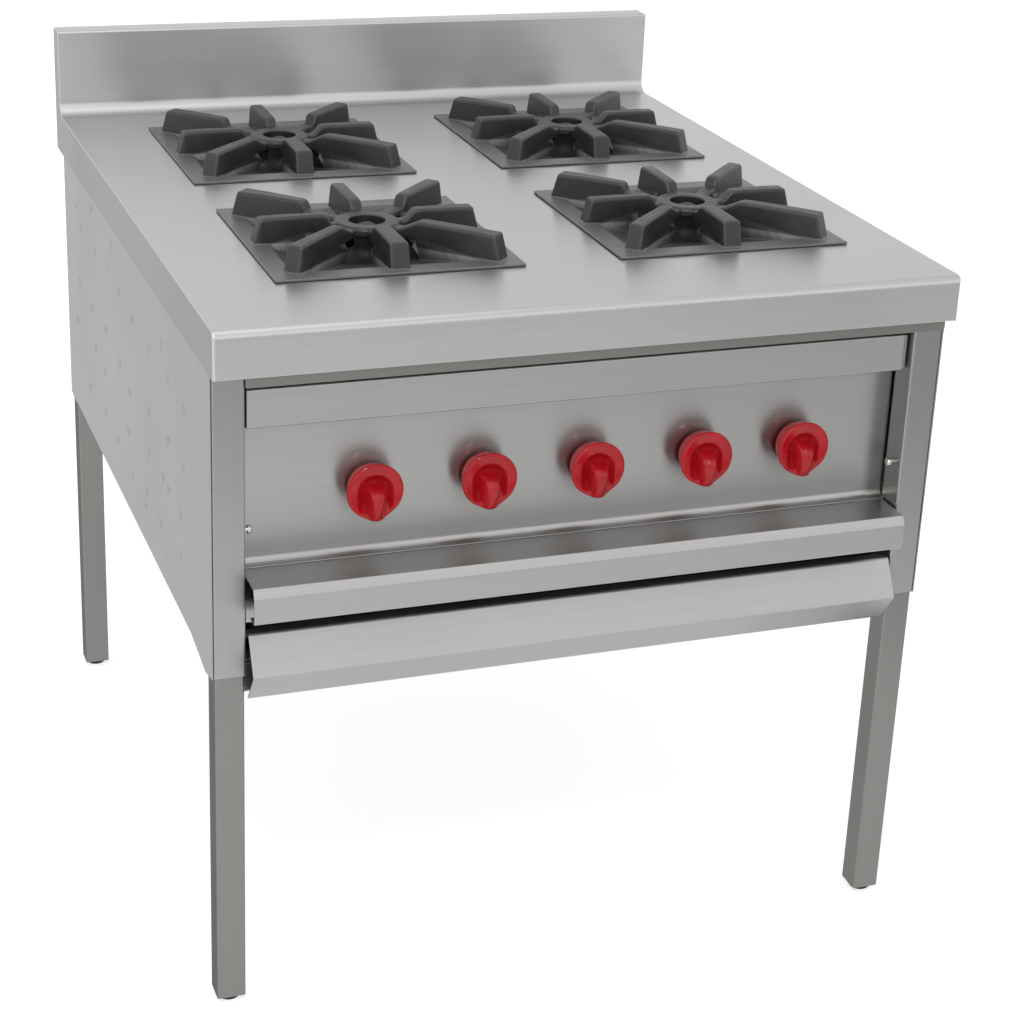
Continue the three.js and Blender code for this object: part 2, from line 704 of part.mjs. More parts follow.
function gasValve(index) {
  const x = KNOB_X[index];
  const body = box(
    x - VALVE_HALF,
    x + VALVE_HALF,
    behind(VALVE_FRONT),
    behind(VALVE_BACK),
    KNOB_HEIGHT - VALVE_HALF,
    KNOB_HEIGHT + VALVE_HALF,
  );
  const gland = cylinder(Y, 10, new THREE.Vector3(x, behind(VALVE_FRONT - 7), KNOB_HEIGHT), 8, 6);
  const seatStart = new THREE.Vector3(x, behind(VALVE_FRONT - 8), KNOB_HEIGHT);
  const seat = cylinder(Y, STEM_RADIUS + GAP, seatStart, 22, 16);
  if (index === PILOT_VALVE) {
    const riser = disc(RISER_RADIUS, x, JET_Y, KNOB_HEIGHT, PILOT_NUT_HIGH - 2, 8);
    const nut = disc(7, x, JET_Y, PILOT_NUT_HIGH - 14, PILOT_NUT_HIGH, 6);
    return cut(join(body, gland, riser, nut), seat);
  }
  const riser = disc(RISER_RADIUS, x, JET_Y, KNOB_HEIGHT, VENTURI_HEIGHT, 8);
  const elbow = disc(9, x, JET_Y, VENTURI_HEIGHT - 10, VENTURI_HEIGHT + 9, 6);
  const jet = cylinder(Y, JET_RADIUS, new THREE.Vector3(x, JET_Y, VENTURI_HEIGHT), 20, 12);
  return cut(join(body, gland, riser, elbow, jet), seat);
}

// One tube from the middle valve to a small tip beside each burner head.
function pilotLine() {
  const x = KNOB_X[PILOT_VALVE];
  const tips = Object.values(ROWS).flatMap((y) => [
    disc(PILOT_RADIUS, x, y, PILOT_HEIGHT, BRANCH_HEIGHT + 1, 8),
    pipe(PILOT_RADIUS, [
      [COLUMNS.left + PILOT_REACH, y, HEAD_HIGH - CAP_SEAT],
      [COLUMNS.left + PILOT_REACH, y, BRANCH_HEIGHT],
      [COLUMNS.right - PILOT_REACH, y, BRANCH_HEIGHT],
      [COLUMNS.right - PILOT_REACH, y, HEAD_HIGH - CAP_SEAT],
    ]),
  ]);
  const trunk = pipe(PILOT_RADIUS, [
    [x, JET_Y, PILOT_NUT_HIGH + GAP],
    [x, JET_Y, PILOT_HEIGHT + 1],
    [x, ROWS.rear, PILOT_HEIGHT + 1],
  ]);
  return join(trunk, ...tips);
}

// ---------------------------------------------------------------- knobs
// Distances behind the apron's face, smaller towards the cook.
const KNOB_BACK = 62;
const KNOB_RIM = 36;
const GRIP_FRONT = KNOB_RIM - 13;
const STEM_BORE_END = 46;
const STEM_LENGTH = 48;
const GRIP_WIDTH = 14;

// A section [radius, distance behind the apron's face] turned about the knob's own axis.
function turnKnob(section, x, segments) {
  const points = section.map(([r, d]) => new THREE.Vector2(r, behind(d)));
  return toSolid(new THREE.LatheGeometry(points, segments).translate(x, 0, KNOB_HEIGHT));
}

// Flared body with a dished face and a grip bar from the centre to the bottom of the rim.
function knob(index) {
  const x = KNOB_X[index];
  const body = turnKnob(
    [
      [0, KNOB_RIM + 3],
      [KNOB_RADIUS - 12, KNOB_RIM + 2],
      [KNOB_RADIUS - 4, KNOB_RIM - 1],
      [KNOB_RADIUS, KNOB_RIM + 2],
      [KNOB_RADIUS - 6, KNOB_BACK],
      [STEM_RADIUS + GAP, KNOB_BACK],
      [STEM_RADIUS + GAP, STEM_BORE_END],
      [0, STEM_BORE_END],
    ],
    x,
    24,
  );
  const side = [
    [KNOB_RIM + 6, 12],
    [KNOB_RIM - 6, 8],
    [GRIP_FRONT, -4],
    [GRIP_FRONT, -22],
    [KNOB_RIM - 6, 1 - KNOB_RADIUS],
    [KNOB_RIM + 6, 2 - KNOB_RADIUS],
  ].map(([distance, height]) => [behind(distance), KNOB_HEIGHT + height]);
  return join(body, extrudeX(side, x - GRIP_WIDTH / 2, x + GRIP_WIDTH / 2));
}

const valveStem = (index) =>
  cylinder(
    Y,
    STEM_RADIUS,
    new THREE.Vector3(KNOB_X[index], behind(STEM_BORE_END + GAP), KNOB_HEIGHT),
    STEM_LENGTH,
    16,
  );

// ---------------------------------------------------------------- assembly
addPiece("worktop", worktop(), stainless());
addPiece("backsplash_back", backsplashBack(), stainless());
addPiece("back_panel", backPanel(), galvanised());
addPiece("front_filler", frontFiller(), stainless());
addPiece("front_top_rail", frontTopRail(), stainless());
addPiece("front_mid_rail", frontMidRail(), stainless());
addPiece("front_bottom_rail", frontBottomRail(), stainless());
addPiece("control_panel", controlPanel(), stainless());
addPiece("front_ledge", frontLedge(), stainless());
addPiece("drip_tray", dripTray(), stainless());

for (const [sideName, side] of Object.entries(SIDES)) {
  addPiece("side_panel_" + sideName, sidePanel(side), stainless());
  addPiece("tray_runner_" + sideName, trayRunner(side), galvanised());
  addPiece("panel_screw_" + sideName, panelScrew(side), galvanised());
  for (const [place, y] of Object.entries(POST_Y)) {
    const corner = place + "_" + sideName;
    addPiece("post_" + corner, post(side, y, place === "front"), stainless());
    addPiece("leg_" + corner, leg(side, y), stainless());
    addPiece("foot_" + corner, foot(side, y), blackPlastic());
  }
}

// Each burner's valve: front burners use the outer one of their side, rear ones the inner.
const JETS = { front_left: 0, rear_left: 1, rear_right: 3, front_right: 4 };
const TUBE_BEND = { front: 120, rear: 170 }; // where a mixing tube turns, ahead of its burner
for (const [row, y] of Object.entries(ROWS)) {
  addPiece("burner_support_" + row, burnerSupport(y), galvanised());
  for (const [column, x] of Object.entries(COLUMNS)) {
    const corner = row + "_" + column;
    addPiece("burner_" + corner, burner(x, y, KNOB_X[JETS[corner]], y - TUBE_BEND[row]), castIron());
    addPiece("burner_cap_" + corner, burnerCap(x, y), castIron());
    addPiece("grate_" + corner, grate(x, y), castIron());
  }
}

addPiece("gas_manifold", gasManifold(), steelPipe());
addPiece("gas_inlet", gasInlet(), steelPipe());
addPiece("pilot_line", pilotLine(), copper());
KNOB_X.forEach((_, index) => {
  addPiece("gas_valve_" + (index + 1), gasValve(index), brass());
  addPiece("valve_stem_" + (index + 1), valveStem(index), brass());
  addPiece("knob_" + (index + 1), knob(index), redPlastic());
});

export default range;
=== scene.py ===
"""Commercial four-burner gas range on an open stand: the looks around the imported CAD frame.

Metres, +Z up, the front at -Y. Pieces are placed from the frame's own boxes. The camera and the
side panels' dents follow the photo.
"""

import math
import random

import bmesh
import bpy
from mathutils import Matrix, Vector, noise


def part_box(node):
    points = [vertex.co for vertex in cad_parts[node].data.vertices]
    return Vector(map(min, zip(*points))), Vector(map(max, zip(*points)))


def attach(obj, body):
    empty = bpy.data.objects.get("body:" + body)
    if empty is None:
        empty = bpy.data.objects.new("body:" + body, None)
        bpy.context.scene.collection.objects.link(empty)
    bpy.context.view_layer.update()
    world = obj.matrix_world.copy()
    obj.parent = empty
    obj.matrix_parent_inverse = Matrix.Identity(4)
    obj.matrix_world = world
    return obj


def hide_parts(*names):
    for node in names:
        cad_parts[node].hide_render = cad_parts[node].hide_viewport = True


MM = 0.001

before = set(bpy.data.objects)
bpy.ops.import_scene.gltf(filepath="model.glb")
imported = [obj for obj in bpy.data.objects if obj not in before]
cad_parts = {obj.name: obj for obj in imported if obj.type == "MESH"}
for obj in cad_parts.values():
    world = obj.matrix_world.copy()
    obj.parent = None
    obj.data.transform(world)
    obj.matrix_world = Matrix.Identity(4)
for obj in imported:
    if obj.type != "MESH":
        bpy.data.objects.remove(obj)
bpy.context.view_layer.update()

# -------- places from the frame
TOP_LOW, TOP_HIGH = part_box("worktop")
GRATE_LOW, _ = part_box("grate_front_left")
APRON_Y = TOP_LOW.y
BACK_Y = TOP_HIGH.y
HALF_TOP = TOP_HIGH.x
APRON_LOW = TOP_LOW.z
DISH_UNDER = 17 * MM  # how far a grate's dish hangs below the cooking surface
SURFACE = GRATE_LOW.z + DISH_UNDER
CORNERS = [f"{row}_{side}" for row in ("front", "rear") for side in ("left", "right")]
SIDES = (("left", -1), ("right", 1))
KNOBS = range(1, 6)


def middle(node):
    low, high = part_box(node)
    return (low + high) / 2


# -------- materials
class Nodes:
    """A node tree with short calls for the nodes that the materials and the sky share."""

    def __init__(self, tree):
        self.nodes = tree.nodes
        self.links = tree.links

    def fill(self, socket, value):
        """Sets an input to a constant, or links another node's output to it."""
        if isinstance(value, bpy.types.NodeSocket):
            self.links.new(value, socket)
        else:
            socket.default_value = value

    def node(self, kind, **inputs):
        node = self.nodes.new("ShaderNode" + kind)
        for name, value in inputs.items():
            self.fill(node.inputs[name.replace("_", " ")], value)
        return node

    def span(self, value, low, high, from_low=0.3, from_high=0.7, smooth=False):
        """A value between two inputs, stretched to run from low to high and held beyond them."""
        ends = {"From_Min": from_low, "From_Max": from_high, "To_Min": low, "To_Max": high}
        node = self.node("MapRange", Value=value, **ends)
        node.interpolation_type = "SMOOTHSTEP" if smooth else "LINEAR"
        return node.outputs["Result"]

    def math(self, operation, a, b):
        node = self.nodes.new("ShaderNodeMath")
        node.operation = operation
        for socket, value in zip(node.inputs, (a, b)):
            self.fill(socket, value)
        return node.outputs["Value"]


class Graph(Nodes):
    """A material and its nodes, with the object's own coordinates as the place to start from."""

    def __init__(self, name):
        self.material = bpy.data.materials.new(name)
        self.material.use_nodes = True
        super().__init__(self.material.node_tree)
        self.shader = self.nodes["Principled BSDF"]
        self.place = self.node("TexCoord").outputs["Object"]

    def set(self, **sockets):
        for name, value in sockets.items():
            self.shader.inputs[name.replace("_", " ")].default_value = value

    def scaled(self, x, y, z):
        return self.node("Mapping", Scale=(x, y, z), Vector=self.place).outputs["Vector"]

    def noise(self, vector, scale=1.0, detail=3.0, roughness=0.55):
        node = self.node("TexNoise", Scale=scale, Detail=detail, Roughness=roughness, Vector=vector)
        return node.outputs["Fac"]

    def blend(self, a, b, share):
        """The given share of one value and the rest of another."""
        return self.math("ADD", self.math("MULTIPLY", a, share), self.math("MULTIPLY", b, 1 - share))

    def ramp(self, value, *stops):
        node = self.nodes.new("ShaderNodeValToRGB")
        elements = node.color_ramp.elements
        while len(elements) < len(stops):
            elements.new(0.5)
        for element, (place, colour) in zip(list(elements), stops):
            element.position = place
            element.color = (*colour, 1)
        self.links.new(value, node.inputs["Fac"])
        return node.outputs["Color"]

    def edges(self, sharpness):
        """1 on sharp convex edges, where a painted highlight goes."""
        geometry = self.node("NewGeometry")
        return self.span(geometry.outputs["Pointiness"], 0.0, 1.0, 0.5, 0.5 + sharpness)

    def mixed(self, factor, a, b):
        """One colour where the factor is 0 and the other where it is 1."""
        node = self.nodes.new("ShaderNodeMix")
        node.data_type = "RGBA"
        self.fill(node.inputs["Factor"], factor)
        for name, value in (("A", a), ("B", b)):
            self.fill(node.inputs[name], (*value, 1) if isinstance(value, tuple) else value)
        return node.outputs["Result"]

    def cylinder_place(self):
        """The distance from the piece's upright axis, and the height."""
        place = self.node("SeparateXYZ", Vector=self.place)
        x, y, z = (place.outputs[axis] for axis in "XYZ")
        square = self.math("ADD", self.math("MULTIPLY", x, x), self.math("MULTIPLY", y, y))
        return self.math("SQRT", square, 0.0), z

    def clear_of_soot_and_shade(self):
        """0 low down near the piece's axis, where soot and painted shade darken the dish, and 1
        elsewhere.
        """
        radius, z = self.cylinder_place()
        outside = self.span(radius, 0.0, 1.0, 62 * MM, 98 * MM)
        return self.math("MAXIMUM", outside, self.span(z, 0.0, 1.0, -12 * MM, 16 * MM))

    def low_outside(self):
        """1 on the rim round the piece, less in the dish inside it, which leaves the dish in painted
        shade, and 0 near the axis and above.
        """
        radius, z = self.cylinder_place()
        outside = self.span(radius, 0.0, 1.0, 60 * MM, 90 * MM)
        low = self.math("MULTIPLY", outside, self.span(z, 1.0, 0.0, 3.7 * MM, 5.5 * MM))
        return self.math("MULTIPLY", low, self.span(z, 0.3, 1.0, -5 * MM, 2.5 * MM))

    def bump(self, height, strength, distance, under=None):
        node = self.node("Bump", Strength=strength, Distance=distance, Height=height)
        if under is not None:
            self.fill(node.inputs["Normal"], under)
        return node.outputs["Normal"]

    def into(self, **sockets):
        for name, output in sockets.items():
            self.links.new(output, self.shader.inputs[name.replace("_", " ")])


def toned(colour, factor):
    return tuple(c * factor for c in colour)


STREAKS = (420.0, 2.5, 2.0)  # noise scale across and along the brushing, and its detail
BANDS = (110.0, 1.5, 3.0)
STREAK_TONE = 0.028  # how much lighter or darker a streak can be


def brushed_steel(name, along, tint, roughness, anisotropy=0.75, edge=0.9):
    """Stainless sheet brushed along one axis: streaks, faint smudges and stretched reflections."""
    g = Graph(name)

    def stretched(across, lengthways, detail):
        return g.noise(g.scaled(*(lengthways if a == along else across for a in "xyz")), detail=detail)

    smudge = g.noise(g.scaled(5.0, 5.0, 5.0), detail=2.0)
    mixed = g.blend(stretched(*STREAKS), stretched(*BANDS), 0.6)
    dark, light = toned(tint, 1 - STREAK_TONE), toned(tint, 1 + STREAK_TONE)
    colour = g.ramp(mixed, (0.35, dark), (0.5, tint), (0.66, light))
    rough = g.math(
        "ADD",
        g.span(mixed, -0.005, 0.005, 0.35, 0.65),
        g.span(smudge, roughness - 0.015, roughness + 0.035),
    )
    g.into(Base_Color=colour, Roughness=rough)
    g.set(Metallic=1.0, Anisotropic=anisotropy, Specular_Tint=(edge, edge, edge, 1))
    tangent = g.node("Tangent")
    tangent.direction_type = "UV_MAP"
    tangent.uv_map = BRUSH_MAP
    g.links.new(tangent.outputs["Tangent"], g.shader.inputs["Tangent"])
    return g.material


def plain_metal(name, dark, light, roughness, grain=260.0, bump=0.25):
    """Unbrushed metal, such as plated sheet, pipe, brass or copper, mottled and slightly dirty."""
    g = Graph(name)
    fine = g.noise(g.place, grain, 4.0)
    cloud = g.noise(g.place, 14.0, 3.0)
    mixed = g.blend(fine, cloud, 0.45)
    rough = g.span(mixed, roughness - 0.08, roughness + 0.12)
    normal = g.bump(fine, bump, 0.15 * MM)
    g.into(Base_Color=g.ramp(mixed, (0.36, dark), (0.64, light)), Roughness=rough, Normal=normal)
    g.set(Metallic=1.0)
    return g.material


def spangled_zinc(name):
    """Galvanised sheet: crystals of slightly different greys."""
    g = Graph(name)
    cells = g.node("TexVoronoi", Scale=90.0, Vector=g.place)
    grey = g.node("RGBToBW", Color=cells.outputs["Color"])
    mixed = g.blend(grey.outputs["Val"], g.noise(g.place, 20.0), 0.6)
    colour = g.ramp(mixed, (0.25, (0.30, 0.31, 0.32)), (0.8, (0.47, 0.48, 0.49)))
    g.into(Base_Color=colour, Roughness=g.span(mixed, 0.38, 0.56, 0.2, 0.8))
    g.set(Metallic=1.0)
    return g.material


def cast_iron(name, dark, light, roughness, soot_and_shade=False):
    """Sand-cast iron under a matt black coat: grain, soft mottling, edges lighter with a painted
    highlight, soot and painted shade low down.
    """
    g = Graph(name)
    grain = g.noise(g.place, 900.0, 5.0, 0.65)
    pits = g.noise(g.place, 190.0, 3.0)
    cloud = g.noise(g.place, 22.0, 3.0)
    mixed = g.blend(pits, cloud, 0.4)
    base = g.ramp(mixed, (0.34, dark), (0.66, light))
    # Sharp edges lighter: a painted highlight.
    colour = g.mixed(g.edges(0.05), base, toned(light, 2.1))
    if soot_and_shade:
        # Lighter flat rim, with the dish left darker as painted shade.
        colour = g.mixed(g.low_outside(), colour, FLANGE_GREY)
        # Soot with painted shade, low down near the axis deep in the dish.
        colour = g.mixed(g.clear_of_soot_and_shade(), SOOT_AND_SHADE, colour)
    rough = g.span(mixed, roughness - 0.07, roughness + 0.08)
    coarse = g.bump(pits, 0.22, 0.5 * MM)
    normal = g.bump(grain, 0.25, 0.12 * MM, coarse)
    g.into(Base_Color=colour, Roughness=rough, Normal=normal)
    g.set(Metallic=0.25, Specular_IOR_Level=0.5)
    return g.material


def moulded_plastic(name, dark, light, roughness, grain):
    """Glossy or matt moulded plastic with faint flow marks and, if matt, a fine texture."""
    g = Graph(name)
    flow = g.noise(g.scaled(30.0, 30.0, 12.0), detail=2.0)
    texture = g.noise(g.place, 1400.0, 2.0)
    colour = g.ramp(flow, (0.3, dark), (0.7, light))
    rough = g.span(flow, roughness - 0.03, roughness + 0.04)
    g.into(Base_Color=colour, Roughness=rough, Normal=g.bump(texture, grain, 0.08 * MM))
    g.set(Specular_IOR_Level=0.3)
    return g.material


BRUSH_MAP = "brush"
STEEL_TINT = (0.475, 0.472, 0.464)
# One stainless steel throughout: the darker tints and lower edge tints of the y, z, front, shade and
# leg copies are painted shade on those faces, not other steels.
STEEL = {
    "x": brushed_steel("steel_brushed_across", "x", STEEL_TINT, 0.305),
    "y": brushed_steel("steel_brushed_deep_painted_shade", "y", (0.32, 0.317, 0.312), 0.302, 0.4, 0.74),
    "z": brushed_steel("steel_brushed_upright_painted_shade", "z", (0.34, 0.336, 0.327), 0.36, 0.6, 0.6),
    "front": brushed_steel("steel_front_painted_shade", "x", (0.385, 0.382, 0.374), 0.31),
    "shade": brushed_steel("steel_painted_shade", "x", (0.22, 0.215, 0.205), 0.4),
    "leg": brushed_steel("steel_legs_painted_shade", "z", (0.225, 0.221, 0.213), 0.34, 0.6, 0.3),
}
ZINC = spangled_zinc("galvanised")
SOOT_AND_SHADE = (0.004, 0.004, 0.004)
FLANGE_GREY = (0.098, 0.099, 0.1)  # lighter on the casting's flat rim; the dish takes less of it and so shows painted shade
IRON = cast_iron("cast_iron", (0.012, 0.0125, 0.013), (0.022, 0.0225, 0.023), 0.44, soot_and_shade=True)
BURNER_IRON = cast_iron("burner_iron", (0.007, 0.007, 0.007), (0.018, 0.017, 0.016), 0.62)
BLACKENED = plain_metal("heat_blackened_sheet", (0.02, 0.02, 0.021), (0.05, 0.05, 0.051), 0.6)
BRASS = plain_metal("brass", (0.34, 0.23, 0.09), (0.62, 0.46, 0.2), 0.34)
COPPER = plain_metal("copper", (0.35, 0.15, 0.08), (0.66, 0.34, 0.2), 0.34)
PIPE = plain_metal("gas_pipe", (0.06, 0.06, 0.062), (0.13, 0.13, 0.132), 0.5)
SCREW = plain_metal("zinc_screw", (0.42, 0.42, 0.41), (0.68, 0.67, 0.65), 0.25)
RED = moulded_plastic("red_plastic", (0.26, 0.003, 0.006), (0.33, 0.005, 0.009), 0.13, 0.01)
BLACK = moulded_plastic("black_plastic", (0.008, 0.008, 0.008), (0.016, 0.016, 0.016), 0.5, 0.3)


# -------- mesh helpers
def linked(name, data):
    """A new object in the scene for a mesh, lamp or camera."""
    obj = bpy.data.objects.new(name, data)
    bpy.context.scene.collection.objects.link(obj)
    return obj


def mesh_object(name, points, faces):
    mesh = bpy.data.meshes.new(name)
    mesh.from_pydata([tuple(p) for p in points], [], faces)
    mesh.validate()
    return linked(name, mesh)


def edit_mesh(obj, change):
    bm = bmesh.new()
    bm.from_mesh(obj.data)
    change(bm)
    bm.to_mesh(obj.data)
    bm.free()


def face_outwards(obj):
    edit_mesh(obj, lambda bm: bmesh.ops.recalc_face_normals(bm, faces=bm.faces))


def soften(obj, bevel=0.0, angle=35.0, segments=2, weighted=True):
    """Rounds the sharp edges a little and shades the rest smooth."""
    obj.data.shade_smooth()
    if bevel:
        mod = obj.modifiers.new("edges", "BEVEL")
        mod.width = bevel
        mod.segments = segments
        mod.limit_method = "ANGLE"
        mod.angle_limit = math.radians(angle)
    else:
        obj.data.set_sharp_from_angle(angle=math.radians(angle))
    if weighted:
        mod = obj.modifiers.new("flat_faces", "WEIGHTED_NORMAL")
        mod.keep_sharp = True
        mod.weight = 80


def add_thickness(obj, thickness):
    shell = obj.modifiers.new("sheet", "SOLIDIFY")
    shell.thickness = thickness
    shell.offset = -1
    return shell


def brush_map(obj, along):
    """A UV map whose first direction runs across the brushing on every face."""
    axis = Vector({"x": (1, 0, 0), "y": (0, 1, 0), "z": (0, 0, 1)}[along])
    other = Vector({"x": (0, 1, 0), "y": (0, 0, 1), "z": (1, 0, 0)}[along])
    mesh = obj.data
    layer = mesh.uv_layers.get(BRUSH_MAP) or mesh.uv_layers.new(name=BRUSH_MAP)
    for face in mesh.polygons:
        normal = face.normal
        grain = axis - normal * axis.dot(normal)
        if grain.length < 0.3:
            grain = other - normal * other.dot(normal)
        grain.normalize()
        across = normal.cross(grain)
        for loop in face.loop_indices:
            p = mesh.vertices[mesh.loops[loop].vertex_index].co
            layer.data[loop].uv = (p.dot(across), p.dot(grain))


def add_piece(obj, body, material, slot, *nodes, brushed=None):
    if brushed:
        brush_map(obj, brushed)
    obj.data.materials.clear()
    obj.data.materials.append(material)
    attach(obj, body)
    if nodes:
        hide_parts(*nodes)
    return obj


def arc_path(corners, steps=10):
    """An open path of (u, v, bend radius) with its bends drawn as arcs."""
    path = []
    for i, (u, v, radius) in enumerate(corners):
        corner = Vector((u, v))
        if not radius:
            path.append(corner)
            continue
        back = (Vector(corners[i - 1][:2]) - corner).normalized()
        on = (Vector(corners[i + 1][:2]) - corner).normalized()
        half = math.acos(max(-1.0, min(1.0, back.dot(on)))) / 2
        centre = corner + (back + on).normalized() * (radius / math.sin(half))
        start = corner + back * (radius / math.tan(half)) - centre
        end = corner + on * (radius / math.tan(half)) - centre
        sweep = math.atan2(start.cross(end), start.dot(end))
        path += [centre + Matrix.Rotation(sweep * k / steps, 2) @ start for k in range(steps + 1)]
    return path


def left_normals(path):
    """The unit normal on the left of each point of a path, and the mitre's stretch there."""
    runs = [(b - a).normalized() for a, b in zip(path, path[1:])]
    sides = [Vector((-r.y, r.x)) for r in runs]
    out = []
    for i in range(len(path)):
        a = sides[max(i - 1, 0)]
        b = sides[min(i, len(sides) - 1)]
        mitre = (a + b).normalized()
        out.append(mitre / mitre.dot(a))
    return out


def ring_faces(n, rings, closed=False):
    """Quads between each ring of n points and the next, and back to the first if closed."""
    pairs = [(k * n, (k + 1) % rings * n) for k in range(rings if closed else rings - 1)]
    return [(a + i, a + (i + 1) % n, b + (i + 1) % n, b + i) for a, b in pairs for i in range(n)]


def folded_sheet(name, corners, x0, x1, thickness, steps=10):
    """A sheet bent along a (y, z) path, its thickness on the path's left, from x0 to x1."""
    path = arc_path(corners, steps)
    inner = [p + n * thickness for p, n in zip(path, left_normals(path))]
    ring = path + inner[::-1]
    points = [(x, p.x, p.y) for x in (x0, x1) for p in ring]
    n = len(ring)
    faces = ring_faces(n, 2)
    for base in (0, n):
        for i in range(len(path) - 1):
            faces.append((base + i, base + i + 1, base + n - 2 - i, base + n - 1 - i))
    obj = mesh_object(name, points, faces)
    face_outwards(obj)
    return obj


def rounded_rectangle(half_u, half_v, radius, steps=5):
    points = []
    for k, (su, sv) in enumerate(((1, 1), (-1, 1), (-1, -1), (1, -1))):
        u, v = su * (half_u - radius), sv * (half_v - radius)
        for i in range(steps + 1):
            a = math.radians(90 * (k + i / steps))
            points.append(Vector((u + radius * math.cos(a), v + radius * math.sin(a))))
    return points


def tube(name, axis, low, high, wall, radius, edges=(0.4 * MM, 0.4 * MM)):
    """A rectangular tube along x or z that fills a box, its corners and both ends rounded."""
    size = high - low
    mid = (low + high) / 2
    if axis == "z":
        half_u, half_v, length = size.x / 2, size.y / 2, size.z
    else:
        half_u, half_v, length = size.y / 2, size.z / 2, size.x
    outer = rounded_rectangle(half_u, half_v, radius)
    inner = rounded_rectangle(half_u - wall, half_v - wall, max(radius - wall, 0.5 * MM))
    first, last = (
        rounded_rectangle(half_u - e, half_v - e, max(radius - e, 0.3 * MM)) for e in edges
    )
    end = length / 2
    rings = [
        (inner, -end), (first, -end), (outer, -end + edges[0]),
        (outer, end - edges[1]), (last, end), (inner, end),
    ]

    def place(p, along):
        if axis == "z":
            return Vector((mid.x + p.x, mid.y + p.y, mid.z + along))
        return Vector((mid.x + along, mid.y + p.x, mid.z + p.y))

    points = [place(p, along) for ring, along in rings for p in ring]
    obj = mesh_object(name, points, ring_faces(len(outer), len(rings), closed=True))
    face_outwards(obj)
    return obj


def lathe(name, section, segments, place, turn=Matrix.Identity(4)):
    """A closed section of (radius, height) in millimetres, turned about an upright axis and placed."""
    points, faces = [], []
    rings = []
    for radius, height in ((r * MM, h * MM) for r, h in section):
        if radius < 1e-6:
            rings.append([len(points)])
            points.append(Vector((0, 0, height)))
            continue
        rings.append(list(range(len(points), len(points) + segments)))
        for i in range(segments):
            a = 2 * math.pi * i / segments
            points.append(Vector((radius * math.cos(a), radius * math.sin(a), height)))
    pairs = list(zip(rings, rings[1:]))
    if section[0][0] > 1e-6:
        pairs.append((rings[-1], rings[0]))
    for a, b in pairs:
        for i in range(segments):
            j = (i + 1) % segments
            if len(a) == 1 and len(b) == 1:
                continue
            if len(a) == 1:
                faces.append((a[0], b[i], b[j]))
            elif len(b) == 1:
                faces.append((a[i], b[0], a[j]))
            else:
                faces.append((a[i], b[i], b[j], a[j]))
    matrix = Matrix.Translation(place) @ turn
    obj = mesh_object(name, [matrix @ p for p in points], faces)
    face_outwards(obj)
    return obj


def smoothstep(low, high, value):
    t = max(0.0, min(1.0, (value - low) / (high - low)))
    return t * t * (3 - 2 * t)


# -------- worktop and backsplash
SHEET = 1.5 * MM
FRONT_BEND = 9 * MM
COVE = 18 * MM
SPLASH_DEPTH = 34 * MM
SPLASH_BEND = 3 * MM
APRON_RETURN = 14 * MM
COVER_SPACE = 1.8 * MM  # the back cover and its gap
CORNER_RADIUS = 4.0 * MM  # welded and ground upright front corners
SIDE_RADIUS = 1.3 * MM  # along the sides of the cooking surface
CUTOUT = 280 * MM
GRATE_COLUMNS = sorted({round(middle(f"grate_{c}").x, 6) for c in CORNERS})
GRATE_ROWS = sorted({round(middle(f"grate_{c}").y, 6) for c in CORNERS})
ROUND_STEPS = 5
BEND_STEPS = 10


def worktop_profile():
    """(y, z) points from the hem to the backsplash's top, with lines where the cut-outs end."""
    splash_y = BACK_Y - SPLASH_DEPTH
    bends = arc_path([
        (APRON_Y + APRON_RETURN, APRON_LOW, 0),
        (APRON_Y, APRON_LOW, 1.6 * MM),
        (APRON_Y, SURFACE, FRONT_BEND),
        (splash_y, SURFACE, COVE),
        (splash_y, TOP_HIGH.z, SPLASH_BEND),
        (BACK_Y, TOP_HIGH.z, 0),
    ], BEND_STEPS)
    lines = [y + side * CUTOUT / 2 for y in GRATE_ROWS for side in (-1, 1)]
    front = [p for p in bends if p.x < lines[0]]
    return front + [Vector((y, SURFACE)) for y in lines] + bends[len(front):]


